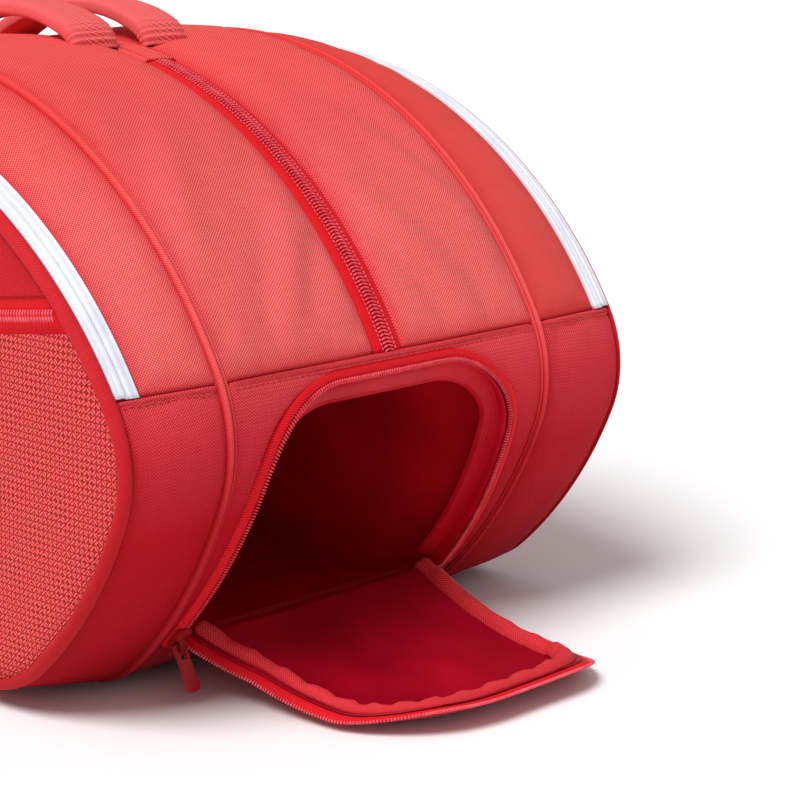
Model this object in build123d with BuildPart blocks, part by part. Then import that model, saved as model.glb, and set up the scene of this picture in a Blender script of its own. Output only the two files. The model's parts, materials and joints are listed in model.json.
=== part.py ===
"""Racket tournament bag: a domed fabric body in three racket compartments, with a shoe compartment in its
head end. +X is the head end, +Z is up, -Y is the front, with the flat pocket, and +Y is the back, with the
shoulder straps. The origin is on the floor, under the middle of the body. The shoe flap lies open on it."""

import os
from collections import namedtuple
from math import atan, atan2, cos, degrees, radians, sin, sqrt, tan

from build123d import *

os.makedirs("parts", exist_ok=True)

# Side view of the body
HALF_LENGTH = 385.0
TAPER = 7.8  # how much the top falls from the crest to the tail. The zips on the sides run parallel to it.
NOSE_R = 64.0
NOSE_Z = 125.8
NOSE_UP = 29.3  # where the nose arc turns into the upper head arc
NOSE_DOWN = -21.5  # where it turns into the lower head arc
HEAD_R = 240.5
TOE_R = 60.0
TAIL_R = 45.0

# Across the body. The gussets narrow from the seams to the flat sides, and the back is the fuller one.
SEAM_Y = 101.0
Side = namedtuple("Side", "name sign flat_y nose_inset base_inset top_scale")
FRONT = Side("front", -1, 157.5, 4.6, 10.0, 0.882)
BACK = Side("back", 1, 166.0, 3.2, 3.65, 0.943)
SIDES = (FRONT, BACK)
PIPING = 3.0
PIPING_PROUD = 2.0
PIPING_FLOOR = 0.6
WALL = 4.0
LINING = 1.5
GAP = 0.4  # between bodies that move apart
FIT = 0.1

# Zips: widths across the zip, and depths below the skin. The bands are measured in from each flat side.
TAPE = 1.8
COIL_DEPTH = 3.0
CENTRE_TAPE_Y = 7.8
CENTRE_TAPE_DEPTH = 0.8
CENTRE_COIL_Y = 3.0
CENTRE_COIL_PROUD = 0.2
CENTRE_COIL_DEPTH = 2.6
BAND_IN = 16.7
BAND_MID = 10.9
BAND_OUT = 5.1
BAND_DEPTH = 0.4
COIL_WIDTH = 1.4
CROSS_SEAM_Z = 154.0
POCKET_ZIP_UP = 35.6  # from the fold line of the side cover up to the pocket zip
POCKET_TAPE = 8.0
POCKET_COIL = 2.6
POCKET_RECESS = 1.0
POCKET_DEPTH = 3.0

# Shoe opening and its flap
HINGE_ANGLE = -43.9  # place of the hinge line on the lower head arc
ARCH_TOP_Z = 144.0
ARCH_LIP_Z = 24.0
ARCH_LIP_Y = 87.5
ARCH_LEAN = atan(8 / 74)  # the legs lean towards each other
ARCH_R = 46.0
ARCH_FLOOR_Z = -10.0
SHOE_TAPE = 6.6
SHOE_TAPE_DEPTH = 0.6
SHOE_COIL = 1.6
FLAP_CLEAR = 2.6
FLAP_OPEN = 71.4
FLAP_TAPE = 3.2
FLAP_COIL_DEPTH = 0.2
FLAP_SHELL = 2.2
FLAP_LINING = 1.2
RIM_WIDTH = 5.0
RIM_INSET = 11.0
RIM_HEIGHT = 5.0
TUNNEL_END_X = 20.0
TUNNEL_INSET = 1.5
TUNNEL_FLOOR_Z = 4.5

# Zip sliders and pull tabs
SLIDER_LENGTH = 12.0
SLIDER_HEAD = 9.0
SLIDER_NOSE = 6.4
SLIDER_PLATE = 1.6
SLIDER_CORNER = 1.4
SLIDER_UP = 0.6
CROWN_X = -2.6
CROWN_HEIGHT = 3.8
CROWN_WIDTH = 2.8
CROWN_POST = 1.4
CROWN_HALF = 3.2
CROWN_TOP = 1.0
TAB_LENGTH = 21.0
TAB_ROOT = 6.2
TAB_TIP = 8.4
TAB_THICK = 2.0
TAB_CORNER = 3.0
TAB_EYE = 7.5
TAB_EYE_BAR = 1.5
TAB_BAR = 1.1
TAB_PLAY = 0.8
PARK_X = -322.0  # where the sliders on the top rest
POCKET_PARK = -305.0  # where the pocket's slider rests, along the fold line
SHOE_SLIDER_OUT = 3.0
SHOE_SLIDER_ANGLE = -42.0
TAB_SWING = {"centre_zip": 180, "front_zip": 180, "back_zip": 180, "pocket_zip": 180, "shoe_zip": 108}

# Handles
HANDLE_HEAD_X = 187.0
HANDLE_TAIL_X = 88.0
HANDLE_Y = 22.0
HANDLE_WIDTH = 28.0
HANDLE_END = 12.0
HANDLE_FLARE = 18.0
HANDLE_THICK = 8.0
HANDLE_RISE = 10.5
HANDLE_AXIS_UP = 7.0
FOOT_WIDTH = 24.0
FOOT_R = 4.0
FOOT_LENGTH = 13.0
FOOT_DROP = 12.0  # runs into the skin, and is cut off there

# Shoulder straps on the back: for each, how far it lies above the fold line and from the bag's middle
STRAP_LINES = {"upper": (74.0, -8.0), "lower": (-47.0, 42.0)}
STRAP_WIDTH = 52.0
STRAP_THICK = 9.0
STRAP_LENGTH = 330.0
STRAP_CORNER = 20.0
STRAP_EDGE = 3.0
STRAP_PLAY = 1.0  # between the pad, its buckle and its webbing
BUCKLE_LENGTH = 22.0
BUCKLE_WIDTH = 33.0
BUCKLE_THICK = 4.0
BUCKLE_CORNER = 3.0
SLOT_LENGTH = 5.0
SLOT_WIDTH = 26.0
WEB_WIDTH = 25.0
WEB_THICK = 1.6
WEB_LENGTH = 110.0


def at(centre, radius, angle):
    """Point of an arc in the side view."""
    return (centre[0] + radius * cos(radians(angle)), centre[1] + radius * sin(radians(angle)))


# Arc centres of the side view, each tangent to the next
NOSE_C = (HALF_LENGTH - NOSE_R, NOSE_Z)
UPPER_C = at(NOSE_C, NOSE_R - HEAD_R, NOSE_UP)
LOWER_C = at(NOSE_C, NOSE_R - HEAD_R, NOSE_DOWN)
TOE_C = (LOWER_C[0] + sqrt((HEAD_R - TOE_R) ** 2 - (LOWER_C[1] - TOE_R) ** 2), TOE_R)
TOE_ANGLE = degrees(atan2(TOE_C[1] - LOWER_C[1], TOE_C[0] - LOWER_C[0]))
TOP_ANGLE = 90 + TAPER
TOP_START = at(UPPER_C, HEAD_R, TOP_ANGLE)
TAIL_X = TAIL_R - HALF_LENGTH


def top_z(x):
    """Height of the straight top line."""
    return TOP_START[1] + (x - TOP_START[0]) * tan(radians(TAPER))


TAIL_TOP_C = (TAIL_X, top_z(TAIL_X) - TAIL_R / cos(radians(TAPER)))
TAIL_BASE_C = (TAIL_X, TAIL_R)
HINGE = at(LOWER_C, HEAD_R, HINGE_ANGLE)


def inset(point, y):
    """Point of the side view moved in by the narrowing of the gusset at y."""
    side = FRONT if y < 0 else BACK
    share = max(0.0, (abs(y) - SEAM_Y) / (side.flat_y - SEAM_Y))
    x = point[0] * (1 - share * side.nose_inset / HALF_LENGTH)
    z = point[1] * (1 - share * (1 - side.top_scale)) + share * side.base_inset
    return (x, z)


def outline(y, grow=0.0):
    """Side outline of the body at y, as a sketch, grown outwards."""

    def arc(centre, radius, start, end):
        angles = (start, (start + end) / 2, end)
        return [inset(at(centre, radius + grow, angle), y) for angle in angles]

    arcs = [
        arc(TAIL_BASE_C, TAIL_R, 270, 180),
        arc(TAIL_TOP_C, TAIL_R, 180, TOP_ANGLE),
        arc(UPPER_C, HEAD_R, TOP_ANGLE, NOSE_UP),
        arc(NOSE_C, NOSE_R, NOSE_UP, NOSE_DOWN),
        arc(LOWER_C, HEAD_R, NOSE_DOWN, TOE_ANGLE),
        arc(TOE_C, TOE_R, TOE_ANGLE, -90),
    ]
    with BuildSketch(Plane.XZ.offset(-y)) as side:
        with BuildLine():
            for points, following in zip(arcs, arcs[1:] + arcs[:1]):
                ThreePointArc(*points)
                if (Vector(*points[-1]) - Vector(*following[0])).length > 0.001:
                    Line(points[-1], following[0])
        make_face()
    return side.sketch


def slab(y_from, y_to, grow=0.0):
    """Solid slice of the body between two side outlines."""
    with BuildPart() as solid:
        loft([outline(y_from, grow), outline(y_to, grow)], ruled=True)
    return solid.part


def shell(y_from, y_to, outer=0.0, inner=-WALL):
    """Ring slice of the body's skin."""
    with BuildPart() as ring:
        add(slab(y_from, y_to, outer))
        add(slab(y_from, y_to, inner), mode=Mode.SUBTRACT)
    return ring.part


def arch(grow, floor_z=ARCH_FLOOR_Z):
    """Outline of the shoe opening seen from the head end, grown outwards."""
    top = ARCH_TOP_Z + grow
    wider = grow / cos(ARCH_LEAN)
    foot, shoulder = (ARCH_LIP_Y + (ARCH_LIP_Z - z) * tan(ARCH_LEAN) + wider for z in (floor_z, top))
    with BuildSketch(Plane.YZ) as front:
        with BuildLine():
            Polyline((-foot, floor_z), (foot, floor_z), (shoulder, top), (-shoulder, top), close=True)
        make_face()
        fillet(front.vertices().group_by(Axis.Y)[-1], ARCH_R + grow)
    return front.sketch


def arch_block(grow, floor_z=ARCH_FLOOR_Z, from_x=0.0):
    """The shoe opening's outline pushed through the head end."""
    with BuildPart() as block:
        add(extrude(arch(grow, floor_z).moved(Location((from_x, 0, 0))), amount=2 * HALF_LENGTH))
    return block.part


# Planes that part the panels
ALONG = Vector(cos(radians(TAPER)), 0, sin(radians(TAPER)))
FOLD = Plane((HALF_LENGTH, 0, CROSS_SEAM_Z), x_dir=ALONG, z_dir=(-ALONG.Z, 0, ALONG.X))
TAIL = Plane.YZ.offset(TAIL_X)
HINGE_UP = Vector(-sin(radians(HINGE_ANGLE)), 0, cos(radians(HINGE_ANGLE)))
LIP = Plane((HINGE[0], 0, HINGE[1]), z_dir=HINGE_UP)
FLAP_LIP = Plane((HINGE[0], 0, HINGE[1]) + HINGE_UP * GAP, z_dir=HINGE_UP)
HINGE_AXIS = Axis((HINGE[0], 0, HINGE[1]), (0, -1, 0))


def save(piece, name):
    """Labels a piece and writes its file."""
    piece.part.label = name
    export_step(piece.part, f"parts/{name}.step")


# Middle section: two top panels, head panel, base and tail
INNER_Y = SEAM_Y - PIPING / 2
OUTER_Y = SEAM_Y + PIPING / 2
middle = shell(-INNER_Y, INNER_Y)

for side in SIDES:
    with BuildPart() as top_panel:
        add(shell(side.sign * CENTRE_TAPE_Y, side.sign * INNER_Y))
        split(bisect_by=FOLD, keep=Keep.TOP)
        split(bisect_by=TAIL, keep=Keep.TOP)
    save(top_panel, f"{side.name}_top_panel")

    tape_ends = (side.sign * CENTRE_COIL_Y, side.sign * CENTRE_TAPE_Y)
    with BuildPart() as centre_tape:
        add(shell(*tape_ends, -CENTRE_TAPE_DEPTH, -CENTRE_TAPE_DEPTH - TAPE))
        split(bisect_by=FOLD, keep=Keep.TOP)
        split(bisect_by=TAIL, keep=Keep.TOP)
    save(centre_tape, f"centre_zip_tape_{side.name}")

with BuildPart() as centre_coil:
    add(shell(-CENTRE_COIL_Y, CENTRE_COIL_Y, CENTRE_COIL_PROUD, -CENTRE_COIL_DEPTH))
    split(bisect_by=FOLD, keep=Keep.TOP)
    split(bisect_by=TAIL, keep=Keep.TOP)
save(centre_coil, "centre_zip_coil")

with BuildPart() as tail_panel:
    add(middle)
    split(bisect_by=TAIL, keep=Keep.BOTTOM)
save(tail_panel, "tail_panel")

with BuildPart() as base_panel:
    add(middle)
    split(bisect_by=TAIL, keep=Keep.TOP)
    split(bisect_by=FOLD, keep=Keep.BOTTOM)
    split(bisect_by=LIP, keep=Keep.BOTTOM)
save(base_panel, "base_panel")

with BuildPart() as head_panel:
    add(middle)
    split(bisect_by=FOLD, keep=Keep.BOTTOM)
    split(bisect_by=LIP, keep=Keep.TOP)
    add(arch_block(SHOE_TAPE), mode=Mode.SUBTRACT)
save(head_panel, "head_panel")


# Shoe zip, the half sewn round the opening
def arch_band(outer_grow, inner_grow, outer, inner):
    """Strip of the head end's skin between two outlines of the shoe opening."""
    with BuildPart() as band:
        add(shell(-INNER_Y, INNER_Y, outer, inner))
        split(bisect_by=FOLD, keep=Keep.BOTTOM)
        split(bisect_by=LIP, keep=Keep.TOP)
        add(arch_block(outer_grow), mode=Mode.INTERSECT)
        if inner_grow is not None:
            add(arch_block(inner_grow), mode=Mode.SUBTRACT)
    return band.part


with BuildPart() as shoe_tape:
    add(arch_band(SHOE_TAPE - FIT, SHOE_COIL, -SHOE_TAPE_DEPTH, -SHOE_TAPE_DEPTH - TAPE))
save(shoe_tape, "shoe_zip_tape")

with BuildPart() as shoe_coil:
    add(arch_band(SHOE_COIL, 0.0, 0.0, -COIL_DEPTH))
save(shoe_coil, "shoe_zip_coil")


def tunnel_block(thinner):
    """The shoe compartment as a solid, from its closed end out through the head."""
    return arch_block(-TUNNEL_INSET - thinner, TUNNEL_FLOOR_Z + thinner, TUNNEL_END_X + thinner)


with BuildPart() as shoe_tunnel:
    add(tunnel_block(0.0))
    add(tunnel_block(LINING), mode=Mode.SUBTRACT)
    add(slab(-INNER_Y, INNER_Y, -WALL - FIT), mode=Mode.INTERSECT)
save(shoe_tunnel, "shoe_tunnel")


# Shoe flap: cut from the same skin, then laid open about the hinge line
def flap_band(outer_clear, inner_clear, outer, inner):
    """Strip of the flap, closed, between two outlines set in from the opening."""
    with BuildPart() as band:
        add(arch_band(-outer_clear, None if inner_clear is None else -inner_clear, outer, inner))
        split(bisect_by=FLAP_LIP, keep=Keep.TOP)
    return band.part


def save_open(piece, name):
    """Turns a piece of the flap out about the hinge line and writes its file."""
    piece.part = piece.part.rotate(HINGE_AXIS, -FLAP_OPEN)
    save(piece, name)


flap_edge = FLAP_CLEAR + FLAP_TAPE
lining_face = FLAP_SHELL + FLAP_LINING

with BuildPart() as flap_panel:
    add(flap_band(flap_edge, None, 0.0, -FLAP_SHELL))
save_open(flap_panel, "flap_panel")

with BuildPart() as flap_lining:
    add(flap_band(flap_edge, None, -FLAP_SHELL, -lining_face))
save_open(flap_lining, "flap_lining")

with BuildPart() as flap_rim:
    add(flap_band(RIM_INSET, RIM_INSET + RIM_WIDTH, -lining_face, -lining_face - RIM_HEIGHT))
save_open(flap_rim, "flap_rim")

with BuildPart() as flap_tape:
    add(flap_band(FLAP_CLEAR + SHOE_COIL, flap_edge, -SHOE_TAPE_DEPTH, -SHOE_TAPE_DEPTH - TAPE))
save_open(flap_tape, "flap_zip_tape")

with BuildPart() as flap_coil:
    add(flap_band(FLAP_CLEAR, FLAP_CLEAR + SHOE_COIL, -FLAP_COIL_DEPTH, -COIL_DEPTH))
save_open(flap_coil, "flap_zip_coil")


# Piping, dividers, gussets and side panels, for the front and the back
COVER_FOLD = FOLD.offset(GAP)  # the cover turns about the line between the two ends of its zip

for side in SIDES:
    seam_in = side.sign * INNER_Y
    seam_out = side.sign * OUTER_Y
    flat = side.sign * side.flat_y
    band_in = flat - side.sign * BAND_IN
    band_mid = flat - side.sign * BAND_MID
    band_out = flat - side.sign * BAND_OUT
    half_coil = side.sign * COIL_WIDTH / 2

    with BuildPart() as piping:
        add(shell(seam_in, seam_out, PIPING_PROUD))
        split(bisect_by=Plane.XY.offset(PIPING_FLOOR), keep=Keep.TOP)
    save(piping, f"{side.name}_piping")

    with BuildPart() as divider:
        add(slab(seam_in, seam_out, -WALL - FIT))
    save(divider, f"{side.name}_divider")

    with BuildPart() as upper_gusset:
        add(shell(seam_out, band_in))
        split(bisect_by=FOLD, keep=Keep.TOP)
    save(upper_gusset, f"{side.name}_upper_gusset")

    with BuildPart() as lower_gusset:
        add(shell(seam_out, flat))
        split(bisect_by=FOLD, keep=Keep.BOTTOM)
    save(lower_gusset, f"{side.name}_lower_gusset")

    with BuildPart() as inner_tape:
        add(shell(band_in, band_mid - half_coil, -BAND_DEPTH, -BAND_DEPTH - TAPE))
        split(bisect_by=FOLD, keep=Keep.TOP)
    save(inner_tape, f"{side.name}_zip_inner_tape")

    with BuildPart() as zip_coil:
        add(shell(band_mid - half_coil, band_mid + half_coil, -BAND_DEPTH, -COIL_DEPTH))
        split(bisect_by=FOLD, keep=Keep.TOP)
    save(zip_coil, f"{side.name}_zip_coil")

    with BuildPart() as outer_tape:
        add(shell(band_mid + half_coil + side.sign * GAP, band_out, -BAND_DEPTH, -BAND_DEPTH - TAPE))
        split(bisect_by=COVER_FOLD, keep=Keep.TOP)
    save(outer_tape, f"{side.name}_zip_outer_tape")

    with BuildPart() as cover_binding:
        add(shell(band_out, flat))
        split(bisect_by=COVER_FOLD, keep=Keep.TOP)
    save(cover_binding, f"{side.name}_cover_binding")

    side_plate = slab(flat - side.sign * WALL, flat, -WALL - FIT)
    cover_up = POCKET_ZIP_UP + POCKET_TAPE if side is FRONT else GAP
    with BuildPart() as cover:
        add(side_plate)
        split(bisect_by=FOLD.offset(cover_up), keep=Keep.TOP)
    save(cover, f"{side.name}_cover_panel")

    with BuildPart() as lower_side:
        add(side_plate)
        split(bisect_by=FOLD, keep=Keep.BOTTOM)
    save(lower_side, f"{side.name}_lower_panel")

# Flat pocket on the front: its zip is in the cover, its woven panel runs on below the fold
FACE_Y = -FRONT.flat_y

with BuildPart() as pocket_strip:
    add(slab(FACE_Y + WALL, FACE_Y, -WALL - FIT))
    split(bisect_by=COVER_FOLD, keep=Keep.TOP)
    split(bisect_by=FOLD.offset(POCKET_ZIP_UP - POCKET_TAPE), keep=Keep.BOTTOM)
save(pocket_strip, "pocket_upper_panel")

with BuildPart() as pocket_tape:
    add(slab(FACE_Y + WALL, FACE_Y + POCKET_RECESS, -WALL - FIT))
    split(bisect_by=FOLD.offset(POCKET_ZIP_UP - POCKET_TAPE), keep=Keep.TOP)
    split(bisect_by=FOLD.offset(POCKET_ZIP_UP + POCKET_TAPE), keep=Keep.BOTTOM)
save(pocket_tape, "pocket_zip_tape")

with BuildPart() as pocket_coil:
    add(slab(FACE_Y + POCKET_RECESS, FACE_Y, -WALL - FIT))
    split(bisect_by=FOLD.offset(POCKET_ZIP_UP - POCKET_COIL), keep=Keep.TOP)
    split(bisect_by=FOLD.offset(POCKET_ZIP_UP + POCKET_COIL), keep=Keep.BOTTOM)
save(pocket_coil, "pocket_zip_coil")

backing_y = FACE_Y + WALL + POCKET_DEPTH
with BuildPart() as pocket_backing:
    add(slab(backing_y + LINING, backing_y, -WALL - FIT))
    split(bisect_by=FOLD, keep=Keep.BOTTOM)
save(pocket_backing, "pocket_backing")

# Zip sliders and pull tabs. Each plane lies on the zip, x along the travel, z out of the fabric.
PIN_AT = Vector(CROWN_X, 0, SLIDER_UP + SLIDER_PLATE + CROWN_HEIGHT / 2)


def slider(plane):
    """Slider body: a plate that narrows towards its tail, with a crown that holds the tab."""
    with BuildPart() as body:
        with BuildSketch(plane.offset(SLIDER_UP)):
            with BuildLine():
                Polyline(
                    (-SLIDER_LENGTH / 2, -SLIDER_NOSE / 2),
                    (SLIDER_LENGTH / 2, -SLIDER_HEAD / 2),
                    (SLIDER_LENGTH / 2, SLIDER_HEAD / 2),
                    (-SLIDER_LENGTH / 2, SLIDER_NOSE / 2),
                    close=True,
                )
            make_face()
        extrude(amount=SLIDER_PLATE)
        fillet(body.edges().filter_by(lambda e: abs(e.length - SLIDER_PLATE) < 0.01), SLIDER_CORNER)
        with BuildSketch(plane.offset(SLIDER_UP + SLIDER_PLATE)):
            with Locations((PIN_AT.X - CROWN_HALF, 0), (PIN_AT.X + CROWN_HALF, 0)):
                Rectangle(CROWN_POST, CROWN_WIDTH)
        extrude(amount=CROWN_HEIGHT)
        with BuildSketch(plane.offset(SLIDER_UP + SLIDER_PLATE + CROWN_HEIGHT)):
            with Locations((PIN_AT.X, 0)):
                Rectangle(2 * CROWN_HALF + CROWN_POST, CROWN_WIDTH)
        extrude(amount=CROWN_TOP)
    return body.part


def tab(plane, swing):
    """Moulded pull tab, hung by its eye on the crown and turned by swing degrees from the travel."""
    lift = radians(swing)
    turned = Plane(
        plane.from_local_coords(PIN_AT),
        x_dir=plane.x_dir * cos(lift) + plane.z_dir * sin(lift),
        z_dir=plane.z_dir * cos(lift) - plane.x_dir * sin(lift),
    )
    eye_end = TAB_EYE - TAB_EYE_BAR
    with BuildPart() as grip:
        with BuildSketch(turned.offset(-TAB_THICK / 2)):
            with BuildLine():
                Polyline(
                    (-TAB_BAR, -TAB_ROOT / 2),
                    (TAB_EYE, -TAB_ROOT / 2),
                    (TAB_LENGTH, -TAB_TIP / 2),
                    (TAB_LENGTH, TAB_TIP / 2),
                    (TAB_EYE, TAB_ROOT / 2),
                    (-TAB_BAR, TAB_ROOT / 2),
                    close=True,
                )
            make_face()
            with Locations(((TAB_BAR + eye_end) / 2, 0)):
                Rectangle(eye_end - TAB_BAR, CROWN_WIDTH + TAB_PLAY, mode=Mode.SUBTRACT)
        extrude(amount=TAB_THICK)
        tip = turned.from_local_coords((TAB_LENGTH, 0, 0))
        uprights = grip.edges().filter_by(lambda edge: abs(edge.length - TAB_THICK) < 0.01)
        fillet(uprights.sort_by_distance(tip)[:2], TAB_CORNER)
    return grip.part


def skin_point(x, y):
    """Point of the straight top of the skin at y. x is taken before the narrowing."""
    moved = inset((x, top_z(x)), y)
    return Vector(moved[0], y, moved[1])


def surface_plane(x, y, lift=0.0):
    """Plane on the straight top of the skin, x along the zip towards the head."""
    here = skin_point(x, y)
    along = (skin_point(x + SLIDER_LENGTH, y) - here).normalized()
    outwards = 1 if y >= 0 else -1
    across = (skin_point(x, y + outwards) - here) * outwards
    normal = along.cross(across).normalized()
    return Plane(here + normal * lift, x_dir=along, z_dir=normal)


pocket_start = FOLD.origin + ALONG * (POCKET_PARK - HALF_LENGTH) + FOLD.z_dir * POCKET_ZIP_UP
shoe_spot = at(LOWER_C, HEAD_R, SHOE_SLIDER_ANGLE)
shoe_out = Vector(cos(radians(SHOE_SLIDER_ANGLE)), 0, sin(radians(SHOE_SLIDER_ANGLE)))
shoe_up = Vector(-shoe_out.Z, shoe_out.X * tan(ARCH_LEAN), shoe_out.X).normalized()


def shoe_slider_y(z):
    """Where the shoe slider's line stands at height z, on the front leg of the opening."""
    return -(ARCH_LIP_Y + (ARCH_LIP_Z - z) * tan(ARCH_LEAN) + SHOE_SLIDER_OUT)


shoe_start = Vector(shoe_spot[0], shoe_slider_y(shoe_spot[1]), shoe_spot[1])
zip_planes = {
    "centre_zip": surface_plane(PARK_X, 0.0, CENTRE_COIL_PROUD),
    "front_zip": surface_plane(PARK_X, BAND_MID - FRONT.flat_y),
    "back_zip": surface_plane(PARK_X, BACK.flat_y - BAND_MID),
    "pocket_zip": Plane((pocket_start.X, FACE_Y, pocket_start.Z), x_dir=ALONG, z_dir=(0, -1, 0)),
    "shoe_zip": Plane(shoe_start, x_dir=shoe_up, z_dir=shoe_out),
}

for name, plane in zip_planes.items():
    with BuildPart() as slider_body:
        add(slider(plane))
    save(slider_body, f"{name}_slider")
    with BuildPart() as pull_tab:
        add(tab(plane, TAB_SWING[name]))
    save(pull_tab, f"{name}_tab")


# Grab handles and the gathered feet that they swing on
def crest_z(x):
    """Height of the top of the middle section."""
    return UPPER_C[1] + sqrt(HEAD_R**2 - (x - UPPER_C[0]) ** 2) if x > TOP_START[0] else top_z(x)


HANDLE_A = Vector(HANDLE_TAIL_X, 0, crest_z(HANDLE_TAIL_X) + HANDLE_AXIS_UP)
HANDLE_B = Vector(HANDLE_HEAD_X, 0, crest_z(HANDLE_HEAD_X) + HANDLE_AXIS_UP)
handle_along = (HANDLE_B - HANDLE_A).normalized()
handle_up = Vector(-handle_along.Z, 0, handle_along.X)
handle_span = (HANDLE_B - HANDLE_A).length


def handle_arc(height):
    """Arc of a handle's middle line, moved up by height."""
    return ThreePointArc((0, height), (handle_span / 2, HANDLE_RISE + height), (handle_span, height))


for side in SIDES:
    tail_pin = Vector(HANDLE_A.X, side.sign * HANDLE_Y, HANDLE_A.Z)
    with BuildPart() as handle:
        with BuildSketch(Plane(tail_pin, x_dir=handle_along, z_dir=(0, -1, 0)).offset(-HANDLE_WIDTH / 2)):
            with BuildLine():
                outer_arc = handle_arc(HANDLE_THICK / 2)
                inner_arc = handle_arc(-HANDLE_THICK / 2)
                Line(outer_arc @ 0, inner_arc @ 0)
                Line(outer_arc @ 1, inner_arc @ 1)
            make_face()
        extrude(amount=HANDLE_WIDTH)
        with BuildSketch(Plane(tail_pin, x_dir=handle_along, z_dir=handle_up)):
            with BuildLine():
                Polyline(
                    (0, -HANDLE_END / 2),
                    (HANDLE_FLARE, -HANDLE_WIDTH / 2),
                    (handle_span - HANDLE_FLARE, -HANDLE_WIDTH / 2),
                    (handle_span, -HANDLE_END / 2),
                    (handle_span, HANDLE_END / 2),
                    (handle_span - HANDLE_FLARE, HANDLE_WIDTH / 2),
                    (HANDLE_FLARE, HANDLE_WIDTH / 2),
                    (0, HANDLE_END / 2),
                    close=True,
                )
            make_face()
        extrude(amount=2 * HANDLE_RISE, both=True, mode=Mode.INTERSECT)
    save(handle, f"{side.name}_handle")

    with BuildPart() as feet:
        for end, away in ((HANDLE_A, -1), (HANDLE_B, 1)):
            start = Vector(end.X, side.sign * HANDLE_Y, end.Z) + handle_along * (away * GAP)
            with BuildSketch(Plane(start, x_dir=(0, away, 0), z_dir=handle_along * away)):
                SlotOverall(FOOT_WIDTH, 2 * FOOT_R)
                with Locations((0, -FOOT_DROP / 2)):
                    Rectangle(FOOT_WIDTH, FOOT_DROP)
            extrude(amount=FOOT_LENGTH)
        add(slab(0.0, side.sign * SEAM_Y, FIT / 2), mode=Mode.SUBTRACT)
    save(feet, f"{side.name}_handle_feet")

# Shoulder straps: one on the back's cover, one below the fold, each with its buckle and its webbing
for name, (up, middle_x) in STRAP_LINES.items():
    centre = FOLD.origin + ALONG * (middle_x - HALF_LENGTH) + FOLD.z_dir * up
    face = Plane((centre.X, BACK.flat_y + FIT / 2, centre.Z), x_dir=ALONG, z_dir=(0, 1, 0))
    buckle_x = -(STRAP_LENGTH + BUCKLE_LENGTH) / 2 - STRAP_PLAY
    webbing_x = buckle_x - (BUCKLE_LENGTH + WEB_LENGTH) / 2 - STRAP_PLAY
    with BuildPart() as pad:
        with BuildSketch(face):
            RectangleRounded(STRAP_LENGTH, STRAP_WIDTH, STRAP_CORNER)
        extrude(amount=STRAP_THICK)
        fillet(pad.faces().sort_by(Axis.Y)[-1].edges(), STRAP_EDGE)
    save(pad, f"{name}_strap_pad")

    with BuildPart() as buckle:
        with BuildSketch(face):
            with Locations((buckle_x, 0)):
                RectangleRounded(BUCKLE_LENGTH, BUCKLE_WIDTH, BUCKLE_CORNER)
                with Locations((-SLOT_LENGTH, 0), (SLOT_LENGTH, 0)):
                    Rectangle(SLOT_LENGTH, SLOT_WIDTH, mode=Mode.SUBTRACT)
        extrude(amount=BUCKLE_THICK)
    save(buckle, f"{name}_strap_buckle")

    with BuildPart() as webbing:
        with BuildSketch(face):
            with Locations((webbing_x, 0)):
                Rectangle(WEB_LENGTH, WEB_WIDTH)
        extrude(amount=WEB_THICK)
    save(webbing, f"{name}_strap_webbing")
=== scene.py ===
"""Racket tournament bag: the fabric, seams, zips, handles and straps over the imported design, in metres.
+X is the head end with the shoe flap, -Y the front with the flat pocket, +Y the back with the straps."""

import json
from math import atan, atan2, cos, pi, radians, sin, sqrt, tan

import bpy
import numpy as np
from mathutils import Matrix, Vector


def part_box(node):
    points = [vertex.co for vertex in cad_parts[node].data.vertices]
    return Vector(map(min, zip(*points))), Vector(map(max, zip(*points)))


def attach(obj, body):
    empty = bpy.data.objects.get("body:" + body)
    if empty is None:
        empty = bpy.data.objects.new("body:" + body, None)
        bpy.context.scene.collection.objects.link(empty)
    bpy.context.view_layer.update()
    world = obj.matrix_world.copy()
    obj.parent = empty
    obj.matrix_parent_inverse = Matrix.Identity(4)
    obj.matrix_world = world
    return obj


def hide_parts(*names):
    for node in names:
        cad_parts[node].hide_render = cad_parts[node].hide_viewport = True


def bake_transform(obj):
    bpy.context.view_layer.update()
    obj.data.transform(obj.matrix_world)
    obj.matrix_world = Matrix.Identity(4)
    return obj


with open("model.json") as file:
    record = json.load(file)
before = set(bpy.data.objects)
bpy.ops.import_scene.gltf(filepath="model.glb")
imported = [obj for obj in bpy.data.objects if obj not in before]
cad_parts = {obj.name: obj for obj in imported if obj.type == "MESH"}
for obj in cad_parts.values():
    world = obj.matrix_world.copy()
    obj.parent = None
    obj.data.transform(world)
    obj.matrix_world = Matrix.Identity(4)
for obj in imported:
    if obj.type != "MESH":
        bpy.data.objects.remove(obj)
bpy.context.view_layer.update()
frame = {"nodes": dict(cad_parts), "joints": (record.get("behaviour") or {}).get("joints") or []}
MM = 0.001
JOINTS = {joint["name"]: joint for joint in frame["joints"]}
SIDES = ((-1, "front"), (1, "back"))

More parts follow.
